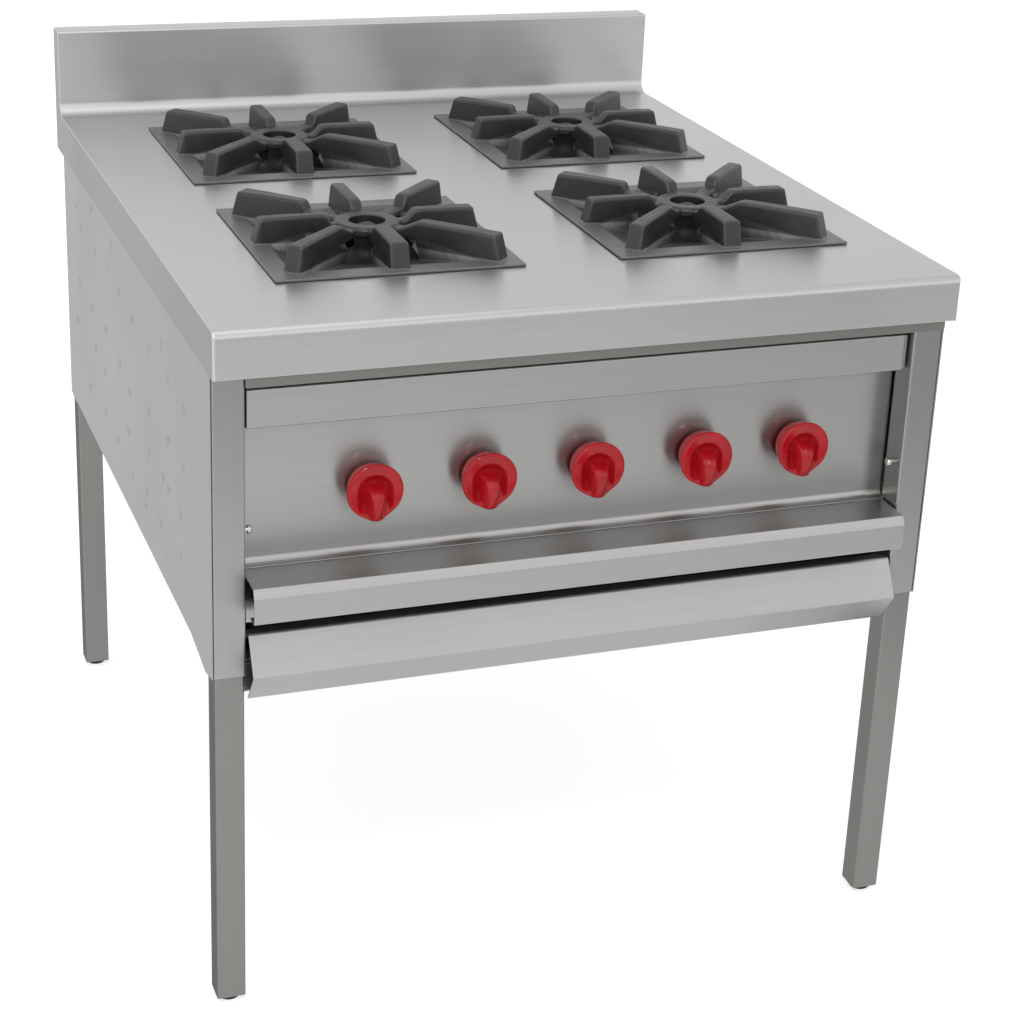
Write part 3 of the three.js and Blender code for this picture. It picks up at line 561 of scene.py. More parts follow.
def worktop():
    profile = worktop_profile()
    inward = [-n for n in left_normals(profile)]
    stations = [x + side * CUTOUT / 2 for x in GRATE_COLUMNS for side in (-1, 1)]
    hem = BEND_STEPS + 1  # the apron's first point above its hem

    def radius_at(p):
        front = p.x < APRON_Y + FRONT_BEND
        return SIDE_RADIUS + front * (CORNER_RADIUS - SIDE_RADIUS) * smoothstep(
            SURFACE - 0.5 * MM, SURFACE - FRONT_BEND, p.y)

    def ring(side, step, squared=True):
        angle = math.pi / 2 * step / ROUND_STEPS
        out = []
        for i, (p, n) in enumerate(zip(profile, inward)):
            if squared and i == hem - 1:
                p, n = Vector((APRON_Y, APRON_LOW)), inward[hem]
            r = radius_at(p)
            q = p + n * r * (1 - math.cos(angle))
            out.append(Vector((side * (HALF_TOP - r + r * math.sin(angle)), q.x, q.y)))
        return out

    rings = [ring(-1, s) for s in range(ROUND_STEPS, -1, -1)] + [ring(-1, 0, False)]
    rings += [[Vector((x, p.x, p.y)) for p in profile] for x in stations]
    rings += [ring(1, 0, False)] + [ring(1, s) for s in range(ROUND_STEPS + 1)]
    n = len(profile)
    last = len(rings) - 1
    points = [p for r in rings for p in r]
    faces = []
    for s in range(last):
        if s in (ROUND_STEPS, last - 1 - ROUND_STEPS):
            continue
        rounding = s < ROUND_STEPS or s > last - 1 - ROUND_STEPS
        for i in range(hem - 1 if rounding else 0, n - 1):
            mid_x = (rings[s][i].x + rings[s + 1][i].x) / 2
            mid_y = (profile[i].x + profile[i + 1].x) / 2
            on_top = all(abs(profile[k].y - SURFACE) < 1e-6 for k in (i, i + 1))
            in_hole = any(abs(mid_x - x) < CUTOUT / 2 - MM for x in GRATE_COLUMNS) and any(
                abs(mid_y - y) < CUTOUT / 2 - MM for y in GRATE_ROWS)
            if on_top and in_hole:
                continue
            faces.append((s * n + i, s * n + i + 1, (s + 1) * n + i + 1, (s + 1) * n + i))
    cover = BACK_Y - COVER_SPACE
    for side, first in ((-1, 0), (1, last * n)):
        back = len(points)
        points += [Vector((side * HALF_TOP, cover, z)) for z in (points[first + n - 1].z, APRON_LOW)]
        faces.append((*(first + i for i in range(hem - 1, n - 1)), back, back + 1))
    obj = mesh_object("worktop_skin", points, faces)

    def clean(bm):
        bmesh.ops.remove_doubles(bm, verts=bm.verts, dist=1e-6)
        bmesh.ops.delete(bm, geom=[v for v in bm.verts if not v.link_faces], context="VERTS")
        bmesh.ops.recalc_face_normals(bm, faces=bm.faces)
        top_face = max(bm.faces, key=lambda f: f.calc_center_median().z)
        if top_face.normal.z < 0:
            bmesh.ops.reverse_faces(bm, faces=bm.faces)

    edit_mesh(obj, clean)
    add_thickness(obj, SHEET).use_even_offset = True
    soften(obj, angle=30)
    add_piece(obj, "frame", STEEL["x"], "stainless_sheet", "worktop", brushed="x")
    # The worktop's side faces take the darker steel: painted shade that holds down their bright grazing
    # reflection.
    obj.data.materials.append(STEEL["shade"])
    for face in obj.data.polygons:
        face.material_index = int(abs(face.normal.x) > 0.97)


worktop()

# -------- side panels with dents
DENT_DEPTH = 2.4 * MM
DENT_HALF = (8.0 * MM, 5.2 * MM)  # along Y and along Z
PANEL_GRID = 2.6 * MM
PANEL_WAVE = 0.25 * MM  # the sheet's slow unevenness
STIFF_EDGES = (45 * MM, 30 * MM)  # flat beside the posts, and above the bottom edge
EDGE_DROP = 200 * MM  # a side panel's bottom corners lie further below its top than this
DENTS = [  # (y, z) of the dents seen in the photo, in millimetres
    (375, 767), (248, 798), (337, 747), (99, 795), (226, 741), (126, 755), (362, 660), (49, 742),
    (265, 650), (391, 591), (-39, 734), (156, 654), (-230, 768), (241, 600), (-148, 730), (55, 643),
    (173, 589), (-262, 730), (294, 523), (-12, 625), (-139, 646), (-351, 728), (174, 528), (2, 564),
    (86, 519), (-255, 652), (-134, 589), (-346, 652), (-19, 511), (-221, 590), (-256, 587),
    (-115, 526), (-106, 505), (-325, 582), (-203, 522), (-321, 530),
]


def dent_places(rng):
    return [(y * MM, z * MM, rng.uniform(0.5, 1.0), rng.uniform(-0.5, 0.5)) for y, z in DENTS]


def dent_depth(y, z, places):
    depth = 0.0
    for py, pz, strength, turn in places:
        dy, dz = y - py, z - pz
        if max(abs(dy), abs(dz)) > 3 * DENT_HALF[0]:
            continue
        u = (dy * math.cos(turn) + dz * math.sin(turn)) / DENT_HALF[0]
        v = (dz * math.cos(turn) - dy * math.sin(turn)) / DENT_HALF[1]
        depth += strength * math.exp(-u * u - v * v)
    return depth * DENT_DEPTH


def side_panel(name, side):
    node = "side_panel_" + name
    low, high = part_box(node)
    skirt = skirt_edge(node)
    places = dent_places(random.Random(7))
    outer_x = high.x if side > 0 else low.x
    across = int((high.y - low.y) / PANEL_GRID)
    up = int((high.z - low.z) / PANEL_GRID)
    points, faces = [], []
    for i in range(across + 1):
        y = low.y + (high.y - low.y) * i / across
        bottom = skirt(y)
        for k in range(up + 1):
            z = bottom + (high.z - bottom) * k / up
            wave = noise.noise(Vector((y * 4, z * 4, side * 3.0))) * PANEL_WAVE
            inside = smoothstep(0, STIFF_EDGES[0], min(y - low.y, high.y - y))
            inside *= smoothstep(0, STIFF_EDGES[1], z - bottom)
            depth = (dent_depth(y, z, places) + max(wave + 0.12 * MM, 0.0)) * inside
            points.append(Vector((outer_x - side * depth, y, z)))
    for i in range(across):
        for k in range(up):
            a = i * (up + 1) + k
            b = a + up + 1
            faces.append((a, a + 1, b + 1, b) if side < 0 else (a, b, b + 1, a + 1))
    obj = mesh_object(node + "_skin", points, faces)
    add_thickness(obj, high.x - low.x)
    soften(obj, angle=40, weighted=False)
    add_piece(obj, "frame", STEEL["y"], "stainless_sheet", node, brushed="y")


def skirt_edge(node):
    """The height of a side panel's bottom edge at any y, read from the node's own corners."""
    corners = {(round(v.co.y, 5), round(v.co.z, 5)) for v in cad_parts[node].data.vertices}
    top = max(z for _, z in corners)
    edge = [(y, z) for y, z in corners if z < top - EDGE_DROP]
    edge = [(y, min(z for q, z in edge if q == y)) for y in sorted({y for y, _ in edge})]

    def height(y):
        for (y0, z0), (y1, z1) in zip(edge, edge[1:]):
            if y <= y1:
                return z0 + (z1 - z0) * max(0.0, (y - y0) / (y1 - y0))
        return edge[-1][1]

    return height


for name, side in SIDES:
    side_panel(name, side)

# -------- posts, legs and feet
TUBE_RADIUS = 2.6 * MM
TUBE_WALLS = {"post_": ("z", 1.2 * MM), "leg_": ("leg", 1.5 * MM)}  # steel and wall

for corner in CORNERS:
    for kind, (steel, wall) in TUBE_WALLS.items():
        upright = tube(kind + corner + "_tube", "z", *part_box(kind + corner), wall, TUBE_RADIUS)
        soften(upright, angle=40)
        add_piece(upright, "frame", STEEL[steel], "stainless_tube", kind + corner, brushed="z")


GLIDE_RADIUS = 14
GLIDE_FOOT = ((3, 0), (1.2, 0.5), (0, 2))  # inset and height, in millimetres
GLIDE_SHOULDER = ((0, 1.4), (0.6, 0.4), (1.4, 0.15), (GLIDE_RADIUS, 0.15))  # inset, depth below the leg
PLUG_WALL = 3 * MM


def foot(corner):
    low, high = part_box("foot_" + corner)
    leg_low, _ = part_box("leg_" + corner)
    mid = (low + high) / 2
    top = (leg_low.z - low.z) / MM
    section = [(0, 0), *((GLIDE_RADIUS - inset, height) for inset, height in GLIDE_FOOT)]
    section += [(GLIDE_RADIUS - inset, top - depth) for inset, depth in GLIDE_SHOULDER]
    glide = lathe("foot_" + corner + "_glide", section, 40, Vector((mid.x, mid.y, low.z)))
    soften(glide, angle=50)
    add_piece(glide, "frame", BLACK, "black_plastic", "foot_" + corner)
    half = (high.x - low.x) / 2
    plug_low = Vector((mid.x - half, mid.y - half, leg_low.z))
    plug_high = Vector((mid.x + half, mid.y + half, high.z))
    plug = tube("foot_" + corner + "_plug", "z", plug_low, plug_high, PLUG_WALL, PLUG_WALL / 2)
    soften(plug, angle=40)
    add_piece(plug, "frame", BLACK, "black_plastic")


for corner in CORNERS:
    foot(corner)

# -------- rails, panel and ledge
RAIL_EDGE = 0.5 * MM
RAIL_RADIUS = 2.7 * MM
RAIL_GAP = 3.2 * MM  # between the top rail's ends and the posts
RAILS = {  # node: (space at each end, rounding of its left end, of its right end)
    "front_top_rail": (RAIL_GAP, 0.8 * MM, 4.6 * MM),
    "front_mid_rail": (0, RAIL_EDGE, RAIL_EDGE),
    "front_bottom_rail": (0, RAIL_EDGE, RAIL_EDGE),
}
for node, (space, *edges) in RAILS.items():
    low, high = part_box(node)
    inset = Vector((space, 0, 0))
    rail = tube(node + "_tube", "x", low + inset, high - inset, SHEET, RAIL_RADIUS, edges)
    soften(rail, angle=40)
    add_piece(rail, "frame", STEEL["front"], "stainless_sheet", node, brushed="x")


def plate(name, low, high, corner, bevel):
    """An upright plate facing the front, with rounded corners and softened edges."""
    mid = (low + high) / 2
    outline = rounded_rectangle((high.x - low.x) / 2, (high.z - low.z) / 2, corner)
    points = [Vector((mid.x + p.x, y, mid.z + p.y)) for y in (low.y, high.y) for p in outline]
    n = len(outline)
    obj = mesh_object(name, points, [tuple(range(n)), tuple(range(n, 2 * n)), *ring_faces(n, 2)])
    face_outwards(obj)
    soften(obj, bevel)
    return obj


FILLER_SKIN = 1.2 * MM
FILLER_CORNER = 2.5 * MM


def front_filler():
    low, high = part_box("front_filler")
    skin = FILLER_SKIN
    front = Vector((high.x, low.y + skin, high.z))
    face = plate("front_filler_face", low, front, FILLER_CORNER, 0.4 * MM)
    # The filler's face takes the darker steel: painted shade for the recess under the apron.
    add_piece(face, "frame", STEEL["shade"], "stainless_sheet", "front_filler", brushed="x")
    start = Vector((low.x, low.y + skin, high.z - skin))
    shelf = plate("front_filler_shelf", start, Vector((-low.x, high.y, high.z)), 0.4 * MM, 0.2 * MM)
    add_piece(shelf, "frame", STEEL["x"], "stainless_sheet", brushed="x")


front_filler()


PANEL_COVE = 9 * MM
LEDGE_DROP = 20 * MM  # the ledge's flange behind the control panel
LEDGE_BEVEL = 11 * MM
LEDGE_RETURN = 14 * MM


def control_panel():
    low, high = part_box("control_panel")
    face = high.y - SHEET
    obj = folded_sheet(
        "control_panel_sheet",
        [(face, high.z, 0), (face, low.z + SHEET, PANEL_COVE), (low.y, low.z + SHEET, 0)],
        low.x, high.x, SHEET, steps=12,
    )
    soften(obj, 0.3 * MM)
    add_piece(obj, "frame", STEEL["front"], "stainless_sheet", "control_panel", brushed="x")


def front_ledge():
    low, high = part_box("front_ledge")
    obj = folded_sheet(
        "front_ledge_sheet",
        [
            (high.y, low.z + LEDGE_DROP, 0),
            (high.y, high.z, 2 * MM),
            (APRON_Y, high.z, 1.2 * MM),
            (low.y, high.z - LEDGE_BEVEL, 1.2 * MM),
            (low.y, low.z, 1.6 * MM),
            (APRON_Y + LEDGE_RETURN, low.z, 0),
        ],
        low.x, high.x, SHEET, steps=6,
    )
    soften(obj, 0.35 * MM)
    add_piece(obj, "frame", STEEL["front"], "stainless_sheet", "front_ledge", brushed="x")


control_panel()
front_ledge()

cover = plate("backsplash_cover", *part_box("backsplash_back"), 1.0 * MM, 0.35 * MM)
add_piece(cover, "frame", STEEL["x"], "stainless_sheet", "backsplash_back", brushed="x")

# -------- drip tray
LIP_BACK = 41.5 * MM  # the front's folds, measured back from the apron's face
LIP_FRONT = 25 * MM
FRONT_FOOT = 28 * MM
NOSE_RISE = 39 * MM  # above the tray's lowest edge
PAN_RISE = 45 * MM
PAN_FRONT = 40 * MM
PAN_INSET = 9.9 * MM  # the pan is narrower than the front
PAN_COVE = ((0, 8, 5), (1.4, 7, 1.6), (5, 5, 0))  # inset, corner radius, height above the pan's floor
WALL_DROP = 8 * MM  # the pan's walls end below the lip


def drip_tray():
    low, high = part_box("drip_tray")
    wall_high = high.z - WALL_DROP
    lip = APRON_Y + LIP_BACK
    face = folded_sheet(
        "drip_tray_front",
        [
            (lip, wall_high - 4 * MM, 0),
            (lip, high.z, 2 * MM),
            (APRON_Y + LIP_FRONT, high.z, 5 * MM),
            (APRON_Y, low.z + NOSE_RISE, 1.4 * MM),
            (APRON_Y + FRONT_FOOT, low.z, 0),
        ],
        low.x, high.x, SHEET, steps=8,
    )
    soften(face, 0.5 * MM, segments=3)
    add_piece(face, "drip_tray", STEEL["front"], "stainless_sheet", "drip_tray", brushed="x")
    pan = tray_pan(high.x - PAN_INSET, APRON_Y + PAN_FRONT, high.y, low.z + PAN_RISE, wall_high)
    add_piece(pan, "drip_tray", STEEL["front"], "stainless_sheet", brushed="x")


def tray_pan(half, front, back, floor, top):
    """An open pan with coved bottom edges and rounded upright corners."""
    mid_y = (front + back) / 2
    rings = []
    for inset, radius, rise in ((0, PAN_COVE[0][1], (top - floor) / MM), *PAN_COVE):
        outline = rounded_rectangle(half - inset * MM, (back - front) / 2 - inset * MM, radius * MM)
        rings.append([Vector((p.x, mid_y + p.y, floor + rise * MM)) for p in outline])
    n = len(rings[0])
    points = [p for ring in rings for p in ring]
    faces = ring_faces(n, len(rings)) + [tuple(range((len(rings) - 1) * n, len(rings) * n))]
    obj = mesh_object("drip_tray_pan", points, faces)
    face_outwards(obj)
    if obj.data.polygons[-1].normal.z > 0:
        edit_mesh(obj, lambda bm: bmesh.ops.reverse_faces(bm, faces=bm.faces))
    add_thickness(obj, SHEET)
    soften(obj, angle=35)
    return obj


drip_tray()

# -------- grates
DISH = [  # (half width, height) of the square rings of the plate, round its whole section
    (132, 0.3), (152.5, 0.3), (152.5, 3.5), (126, 3.5), (118, -3), (60, -11), (30, -11),
    (30, -17), (66, -17), (124, -9),
]
FLAME_HOLE_HALF = 60
FLAME_HOLE_CORNER = 26
HUB_IN = 22
HUB_OUT = 41
HUB_LOW = 11
HUB_HIGH = 24
FIN_TOP = 35
FIN_START = 34
ARCH = 74  # the fins stand clear of the dish inside this radius
ARCH_HIGH = 16  # the underside of the fins there
DISH_WALL = 118  # where the dish's floor meets its wall
SKIRT_STEPS = 8
VOXEL = 1.1 * MM

# By direction in degrees: reach, where the step up from the hub starts and ends, and the land's
# half width at the hub and outside, all in millimetres.
FINS = {
    0: (142, 48, 58, 8.5, 11), 45: (184, 82, 88, 8, 10.5), 90: (142, 46, 52, 7.5, 9.5),
    135: (186, 82, 87, 8.5, 13), 180: (144, 46, 52, 7, 10), 225: (182, 50, 72, 7, 10),
    270: (143, 48, 62, 10, 11.5), 315: (186, 50, 72, 10, 12.5),
}
DRAFT = 0.07  # how fast the fins widen downwards
SKIRT = 6.5
CHAMFER = 2.2


def add_block(bm, rings):
    """A closed solid through rings with the same number of points."""
    made = [[bm.verts.new(p) for p in ring] for ring in rings]
    n = len(rings[0])
    for a, b in zip(made, made[1:]):
        for i in range(n):
            j = (i + 1) % n
            bm.faces.new((a[i], a[j], b[j], b[i]))
    bm.faces.new(made[0][::-1])
    bm.faces.new(made[-1])


def square(half, z):
    return [Vector((half * x, half * y, z)) * MM for x, y in ((-1, -1), (1, -1), (1, 1), (-1, 1))]


def circle(radius, z, segments=72):
    turns = [2 * math.pi * i / segments for i in range(segments)]
    return [Vector((radius * math.cos(a), radius * math.sin(a), z)) * MM for a in turns]


def add_fin(bm, angle, reach, step_foot, step_head, half_in, half_out):
    """A level-topped blade from the hub to the flange over a wider skirt that stands in the dish."""
    turn = Matrix.Rotation(math.radians(angle), 3, "Z")
    share = lambda r: (r - step_foot) / (reach - step_foot)
    half = lambda r: half_in + (half_out - half_in) * max(0.0, min(1.0, share(r)))
    arch_line = lambda r: ARCH_HIGH * max(0.0, 1 - max(0.0, (r - ARCH) / (reach - 4 - ARCH)) ** 1.25)

    def section(r, top, top_half, foot, foot_half):
        cut = min(CHAMFER, (top - foot) / 3)
        right = [(foot_half, foot), (top_half, top - cut), (top_half - cut, top)]
        corners = right + [(-y, z) for y, z in reversed(right)]
        return [turn @ (Vector((r, y, z)) * MM) for y, z in corners]

    blade = []
    tops = [
        (FIN_START, HUB_HIGH - 3), (step_foot, HUB_HIGH - 1), (step_head, FIN_TOP - 1.2),
        (step_head + 6, FIN_TOP), (reach * 0.8, FIN_TOP), (reach - 9, FIN_TOP - 0.8), (reach, 1),
    ]
    for r, top in tops:
        foot = HUB_LOW + 1 if r < ARCH else arch_line(r) - 2
        foot = min(foot, top - 2)
        blade.append(section(r, top, half(r), foot, half(r) + DRAFT * (top - foot)))
    add_block(bm, blade)
    skirt = []
    floor_end = DISH_WALL * (math.sqrt(2) if angle % 90 == 45 else 1)
    for k in range(SKIRT_STEPS + 1):
        r = ARCH - 3 + (reach - ARCH) * k / SKIRT_STEPS
        line = arch_line(r)
        inside = smoothstep(reach - 2, floor_end - 14, r)
        foot = -13 + 10 * smoothstep(ARCH, floor_end, r) if k else HUB_LOW - 6
        width = half(r) + DRAFT * (FIN_TOP - line) + 0.3
        skirt.append(section(r, line, width, min(foot, line - 2), width + SKIRT * inside))
    add_block(bm, skirt)


def solid_from(build, name):
    bm = bmesh.new()
    build(bm)
    bmesh.ops.recalc_face_normals(bm, faces=bm.faces)
    mesh = bpy.data.meshes.new(name)
    bm.to_mesh(mesh)
    bm.free()
    return linked(name, mesh)


def apply_all(obj):
    graph = bpy.context.evaluated_depsgraph_get()
    graph.update()
    mesh = bpy.data.meshes.new_from_object(obj.evaluated_get(graph))
    obj.modifiers.clear()
    obj.data = mesh


def cut_from(obj, tool):
    mod = obj.modifiers.new("cut", "BOOLEAN")
    mod.operation = "DIFFERENCE"
    mod.object = tool
    mod.solver = "EXACT"
    apply_all(obj)
    bpy.data.objects.remove(tool)


def grate_mesh():
    """One casting: flange, shallow dish, hub ring and eight fins, run together and softened."""
    rings = [p for half, z in DISH for p in square(half, z)]
    body = mesh_object("grate_shell", rings, ring_faces(4, len(DISH), closed=True))
    face_outwards(body)
    hole = rounded_rectangle(FLAME_HOLE_HALF * MM, FLAME_HOLE_HALF * MM, FLAME_HOLE_CORNER * MM, 8)
    levels = [[Vector((p.x, p.y, z)) for p in hole] for z in (-30 * MM, 0)]
    cut_from(body, solid_from(lambda bm: add_block(bm, levels), "grate_hole"))

    def ribs(bm):
        for angle, sizes in FINS.items():
            add_fin(bm, angle, *sizes)
        add_block(bm, [
            circle(HUB_OUT - 2, HUB_LOW), circle(HUB_OUT, HUB_LOW + 3), circle(HUB_OUT, HUB_HIGH - 3),
            circle(HUB_OUT - 3, HUB_HIGH),
        ])

    fins = solid_from(ribs, "grate_fins")
    remesh(fins, VOXEL)
    bore = lambda bm: add_block(bm, [circle(HUB_IN + 2, -30), circle(HUB_IN, 2 * HUB_HIGH)])
    cut_from(fins, solid_from(bore, "grate_bore"))
    join = bmesh.new()
    join.from_mesh(body.data)
    join.from_mesh(fins.data)
    join.to_mesh(body.data)
    join.free()
    bpy.data.objects.remove(fins)
    remesh(body, VOXEL)
    smooth = body.modifiers.new("smooth", "SMOOTH")
    smooth.factor = 0.5
    smooth.iterations = 1
    thin = body.modifiers.new("thin", "DECIMATE")
    thin.ratio = 0.25
    apply_all(body)
    mesh = body.data
    bpy.data.objects.remove(body)
    return mesh


def remesh(obj, voxel):
    mod = obj.modifiers.new("voxels", "REMESH")
    mod.mode = "VOXEL"
    mod.voxel_size = voxel
    apply_all(obj)


def grates():
    mesh = grate_mesh()
    for corner in CORNERS:
        node = "grate_" + corner
        obj = linked(node + "_casting", mesh.copy())
        obj.location = (middle(node).x, middle(node).y, SURFACE)
        obj.data.shade_smooth()
        add_piece(obj, node, IRON, "cast_iron", node)
    bpy.data.meshes.remove(mesh)


grates()

# -------- burners
CAP_RIM = ((9.5, 0), (9.5, 7.6), (0.8, 7.9), (0, 9.5), (1.5, 12.5))  # inset and height
CAP_NECK = ((44, 14.5), (30, 17.2), (22, 19.5), (17.5, 24), (15.4, 32))  # radius and height
CAP_BUTTON = ((15, 9), (13.9, 5.2), (11.4, 2.5), (7, 0.7), (0, 0))  # radius and depth below the crown


def burner_cap(corner):
    """A cap whose domed middle stands up inside the grate's hub."""
    low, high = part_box("burner_cap_" + corner)
    mid = (low + high) / 2
    radius = (high.x - low.x) / 2 / MM - 0.5
    crown = (high.z - low.z) / MM
    section = [(0, 0), *((radius - inset, height) for inset, height in CAP_RIM), *CAP_NECK]
    section += [(r, crown - depth) for r, depth in CAP_BUTTON]
    cap = lathe("burner_cap_" + corner + "_casting", section, 64, Vector((mid.x, mid.y, low.z)))
    soften(cap, angle=45)
    add_piece(cap, "frame", BURNER_IRON, "burner_iron", "burner_cap_" + corner)


for corner in CORNERS:
    burner_cap(corner)

# -------- knobs
KNOB_DEPTH = 26 * MM  # from the panel side to the rim's front
RIM_RADIUS = 34
RIM_ROUND = 3.6
RIM_RISE = 6.5  # the rim above the middle of the dished face
POINTER = 1.8  # how far the grip's end stands out past the rim
GRIP_TOP = 19.0
GRIP_HALF = 13.0
GRIP_ASIDE = 1.2  # the grip sits a little to the right of the knob's middle
KNOB_AROUND = 144
FACE_STEPS = 40
RIM_STEPS = 8
RECESS_DEPTH = 4.5
RECESS_EDGE = (23, 14)  # where the recess starts and is full, measured from the grip's spine
SPINE_TOP = -5.0  # the height at which the grip's rounded end starts to fall away
GRIP_RUNS = (13, 29)  # from there to the grip's upper and lower ends
GRIP_ROOT = 5.5  # how far the grip's sides run down into the recess
KNOB_BACK = (  # radius, and share of the way back to the panel side
    (30.2, 0.0), (29.0, 0.25), (28.4, 0.6), (28.2, 0.93), (27.2, 1.0),
)
BORE_DEPTH = 16 * MM
BORE_RADIUS = 5.0


def knob_front(x, z):
    """The height in millimetres of a knob's face: a dished rim and a finger grip in a recess."""
    r = math.hypot(x, z)
    x -= GRIP_ASIDE
    from_spine = math.hypot(x, z - max(-30.0, min(-2.0, z)))
    recess = -RECESS_DEPTH * smoothstep(*RECESS_EDGE, from_spine) * smoothstep(-33, -16, z)
    base = RIM_RISE * (r / RIM_RADIUS) ** 2.2 + recess
    if z > SPINE_TOP:
        end = math.sqrt(max(0.0, 1 - ((z - SPINE_TOP) / GRIP_RUNS[0]) ** 2))
    else:
        end = 1 - 0.34 * ((SPINE_TOP - z) / GRIP_RUNS[1]) ** 1.6
    half = GRIP_HALF - 1.5 * smoothstep(-12, -34, z)
    grip = (GRIP_TOP + GRIP_ROOT) * end * math.sqrt(max(0.0, 1 - (x / half) ** 2)) - GRIP_ROOT
    return max(base, grip)


def knob(number):
    node = f"knob_{number}"
    low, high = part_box(node)
    mid = (low + high) / 2
    back = high.y
    base_y = back - KNOB_DEPTH + RIM_RISE * MM
    turns = [-math.pi + 2 * math.pi * i / KNOB_AROUND for i in range(KNOB_AROUND)]
    points = [Vector((mid.x, base_y - knob_front(0, 0) * MM, mid.z))]
    rings = []

    def rim_radius(turn):
        return RIM_RADIUS + POINTER * math.exp(-((math.degrees(turn) + 86) / 20) ** 2)

    def ring(place):
        rings.append(range(len(points), len(points) + KNOB_AROUND))
        for turn in turns:
            r, y = place(turn)
            aside, up = r * MM * math.cos(turn), r * MM * math.sin(turn)
            points.append(Vector((mid.x + aside, y, mid.z + up)))

    def on_face(turn, share):
        r = share * (rim_radius(turn) - RIM_ROUND)
        return r, base_y - knob_front(r * math.cos(turn), r * math.sin(turn)) * MM

    def on_rim(turn, roll):
        edge, y = on_face(turn, 1.0)
        height = RIM_RISE + ((base_y - y) / MM - RIM_RISE) * (1 - roll / math.pi)
        height -= RIM_ROUND * (1 - math.cos(roll))
        return edge + RIM_ROUND * math.sin(roll), base_y - height * MM

    for k in range(1, FACE_STEPS + 1):
        ring(lambda turn: on_face(turn, (k / FACE_STEPS) ** 0.9))
    for k in range(1, RIM_STEPS + 1):
        ring(lambda turn: on_rim(turn, math.pi * k / RIM_STEPS))
    start = back - KNOB_DEPTH + 2 * RIM_ROUND * MM
    for radius, share in KNOB_BACK:
        ring(lambda turn: (radius, start + (back - start) * share))
    for y in (back, back - BORE_DEPTH):
        ring(lambda turn: (BORE_RADIUS, y))
    bottom = len(points)
    points.append(Vector((mid.x, back - BORE_DEPTH, mid.z)))
    faces = []
    for i in range(KNOB_AROUND):
        j = (i + 1) % KNOB_AROUND
        faces.append((0, rings[0][i], rings[0][j]))
        faces += [(a[i], b[i], b[j], a[j]) for a, b in zip(rings, rings[1:])]
        faces.append((rings[-1][i], bottom, rings[-1][j]))
    obj = mesh_object(node + "_moulding", points, faces)
    face_outwards(obj)
    soften(obj, angle=60, weighted=False)
    add_piece(obj, node, RED, "red_knob", node)


for number in KNOBS:
    knob(number)

# -------- small fastenings
SCREW_SHANK = 3
SCREW_HEAD = (  # radius and depth below the screw's outer end
    (5.2, 5), (5.4, 4.4), (5.2, 2), (4.2, 0.7), (2.4, 0), (1.4, 0), (1.2, 1.2), (0, 1.4),
)


def panel_screw(name, side):
    node = "panel_screw_" + name
    low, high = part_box(node)
    mid = (low + high) / 2
    turn = Matrix.Rotation(math.radians(90 * side), 4, "Y").inverted()
    length = (high.x - low.x) / MM
    start = Vector((high.x if side > 0 else low.x, mid.y, mid.z))
    section = [(0, 0), (SCREW_SHANK, 0), (SCREW_SHANK, length - SCREW_HEAD[0][1])]
    section += [(r, length - depth) for r, depth in SCREW_HEAD]
    screw = lathe(node + "_bolt", section, 32, start, turn)
    soften(screw, angle=40)
    add_piece(screw, "frame", SCREW, "zinc_screw", node)


for name, side in SIDES:
    panel_screw(name, side)

# -------- CAD nodes that stay
KEPT = {  # node: (material, edge rounding in millimetres)
    "back_panel": (ZINC, 0.3), "gas_manifold": (PIPE, 0.8), "gas_inlet": (PIPE, 0.8),
    "pilot_line": (COPPER, 0.2),
}
KEPT.update({f"tray_runner_{side}": (ZINC, 0.3) for side, _ in SIDES})
KEPT.update({f"burner_support_{row}": (BLACKENED, 0.3) for row in ("front", "rear")})
KEPT.update({f"burner_{c}": (BURNER_IRON, 1.0) for c in CORNERS})
KEPT.update({f"gas_valve_{k}": (BRASS, 0.7) for k in KNOBS})
KEPT.update({f"valve_stem_{k}": (BRASS, 0.4) for k in KNOBS})


def keep_node(node, material, bevel):
    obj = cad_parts[node]
    obj.data.materials.clear()
    obj.data.materials.append(material)
    weld = obj.modifiers.new("weld", "WELD")
    weld.merge_threshold = 0.02 * MM
    edges = obj.modifiers.new("edges", "BEVEL")
    edges.width = bevel * MM
    edges.segments = 2
    edges.limit_method = "ANGLE"
    edges.angle_limit = math.radians(40)


for node, (material, bevel) in KEPT.items():
    keep_node(node, material, bevel)

# -------- floor, light and camera
FLOOR_HALF = 16.0
FLOOR_GLOW = 0.68  # the floor's own glow round and behind the range, painted light that no lamp gives
GLOW_FROM = (-3.1, -1.2)  # where along Y the glow starts and is full
GLOW_SLANT = -0.6  # the glow fades sooner on the right


def floor():
    corners = [(FLOOR_HALF * x, FLOOR_HALF * y, 0) for x, y in ((-1, -1), (1, -1), (1, 1), (-1, 1))]
    obj = mesh_object("floor", corners, [(0, 1, 2, 3)])
    g = Graph("studio_floor")
    tone = g.noise(g.place, 3.0, 3.0)
    place = g.node("SeparateXYZ", Vector=g.place)
    slant = g.math("ADD", place.outputs["Y"], g.math("MULTIPLY", place.outputs["X"], GLOW_SLANT))
    # The floor glows by emission, with no lamp: painted light, strongest round and behind the range and
    # fading towards the front.
    glow = g.span(slant, 0.0, FLOOR_GLOW, *GLOW_FROM, smooth=True)
    g.into(
        Base_Color=g.ramp(tone, (0.3, (0.4, 0.4, 0.4)), (0.7, (0.41, 0.41, 0.41))),
        Emission_Strength=glow,
    )
    g.set(Roughness=0.8, Specular_IOR_Level=0.1, Emission_Color=(1, 1, 1, 1))
    obj.data.materials.append(g.material)


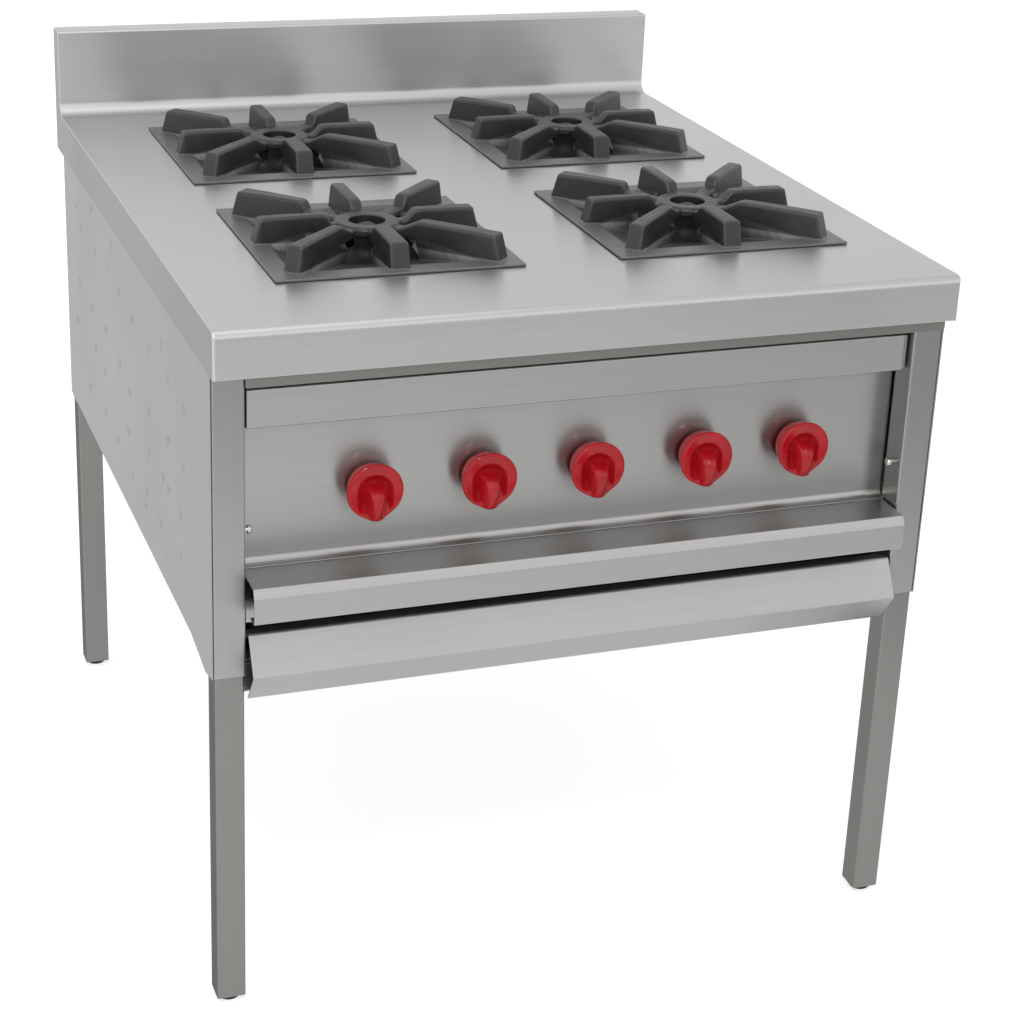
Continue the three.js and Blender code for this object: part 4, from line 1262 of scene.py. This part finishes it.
# The sky's brightness in front, behind and above, and what each side adds.
SKY = {"front": 1.65, "back": 1.24, "overhead": 1.0, "left": 0.06, "right": -0.06}
LIGHTS = [
    # name, place, target, width, height, power
    ("left_softbox", (-3.1, -0.9, 1.25), (0.0, -0.3, 0.7), 2.4, 2.3, 7.0),
    ("front_spot", (-0.9, -2.3, 2.9), (0.0, -0.4, 0.7), 0.3, 0.3, 26.0),
    ("overhead_softbox", (-0.3, -0.5, 3.3), (0.0, 0.0, 0.9), 2.2, 1.6, 8.0),
]


def sky():
    world = bpy.data.worlds.new("studio")
    bpy.context.scene.world = world
    world.use_nodes = True
    g = Nodes(world.node_tree)
    background = g.nodes["Background"]
    background.inputs["Color"].default_value = (1, 1, 1, 1)
    direction = g.node("SeparateXYZ", Vector=g.node("TexCoord").outputs["Generated"])
    x, y, z = (direction.outputs[axis] for axis in "XYZ")
    lengthways = g.span(y, SKY["front"], SKY["back"], -1.0, 1.0, smooth=True)
    sideways = g.span(x, SKY["left"], SKY["right"], -1.0, 1.0, smooth=True)
    beside = g.span(z, 1.0, 0.0, 0.0, 1.0, smooth=True)
    above = g.span(z, 0.0, SKY["overhead"], 0.0, 1.0, smooth=True)
    horizon = g.math("MULTIPLY", g.math("ADD", lengthways, sideways), beside)
    g.fill(background.inputs["Strength"], g.math("ADD", horizon, above))


def aim(obj, place, target, roll=0.0):
    """Puts a lamp or camera at a place, looking at a target."""
    obj.location = place
    obj.rotation_mode = "QUATERNION"
    look = (target - place).to_track_quat("-Z", "Y")
    obj.rotation_quaternion = look @ Matrix.Rotation(math.radians(roll), 3, "Z").to_quaternion()


def studio():
    sky()
    for name, place, target, width, height, power in LIGHTS:
        lamp = bpy.data.lights.new(name, "AREA")
        lamp.shape = "RECTANGLE"
        lamp.size = width
        lamp.size_y = height
        lamp.energy = power
        aim(linked(name, lamp), Vector(place), Vector(target))


CAMERA_PLACE = Vector((-0.953, -2.744, 1.664))
CAMERA_TARGET = Vector((0.0822, 0.0, 0.5013))
CAMERA_ROLL = 2.454  # degrees, clockwise
CAMERA_LENS = 79.08
CAMERA_SHIFT_Y = -0.0703


def camera():
    data = bpy.data.cameras.new("camera")
    data.lens = CAMERA_LENS
    data.sensor_width = 36
    data.shift_y = CAMERA_SHIFT_Y
    data.clip_start = 0.05
    data.clip_end = 60
    obj = linked("camera", data)
    aim(obj, CAMERA_PLACE, CAMERA_TARGET, CAMERA_ROLL)
    bpy.context.scene.camera = obj


floor()
studio()
camera()
bpy.context.scene.view_settings.view_transform = "Standard"
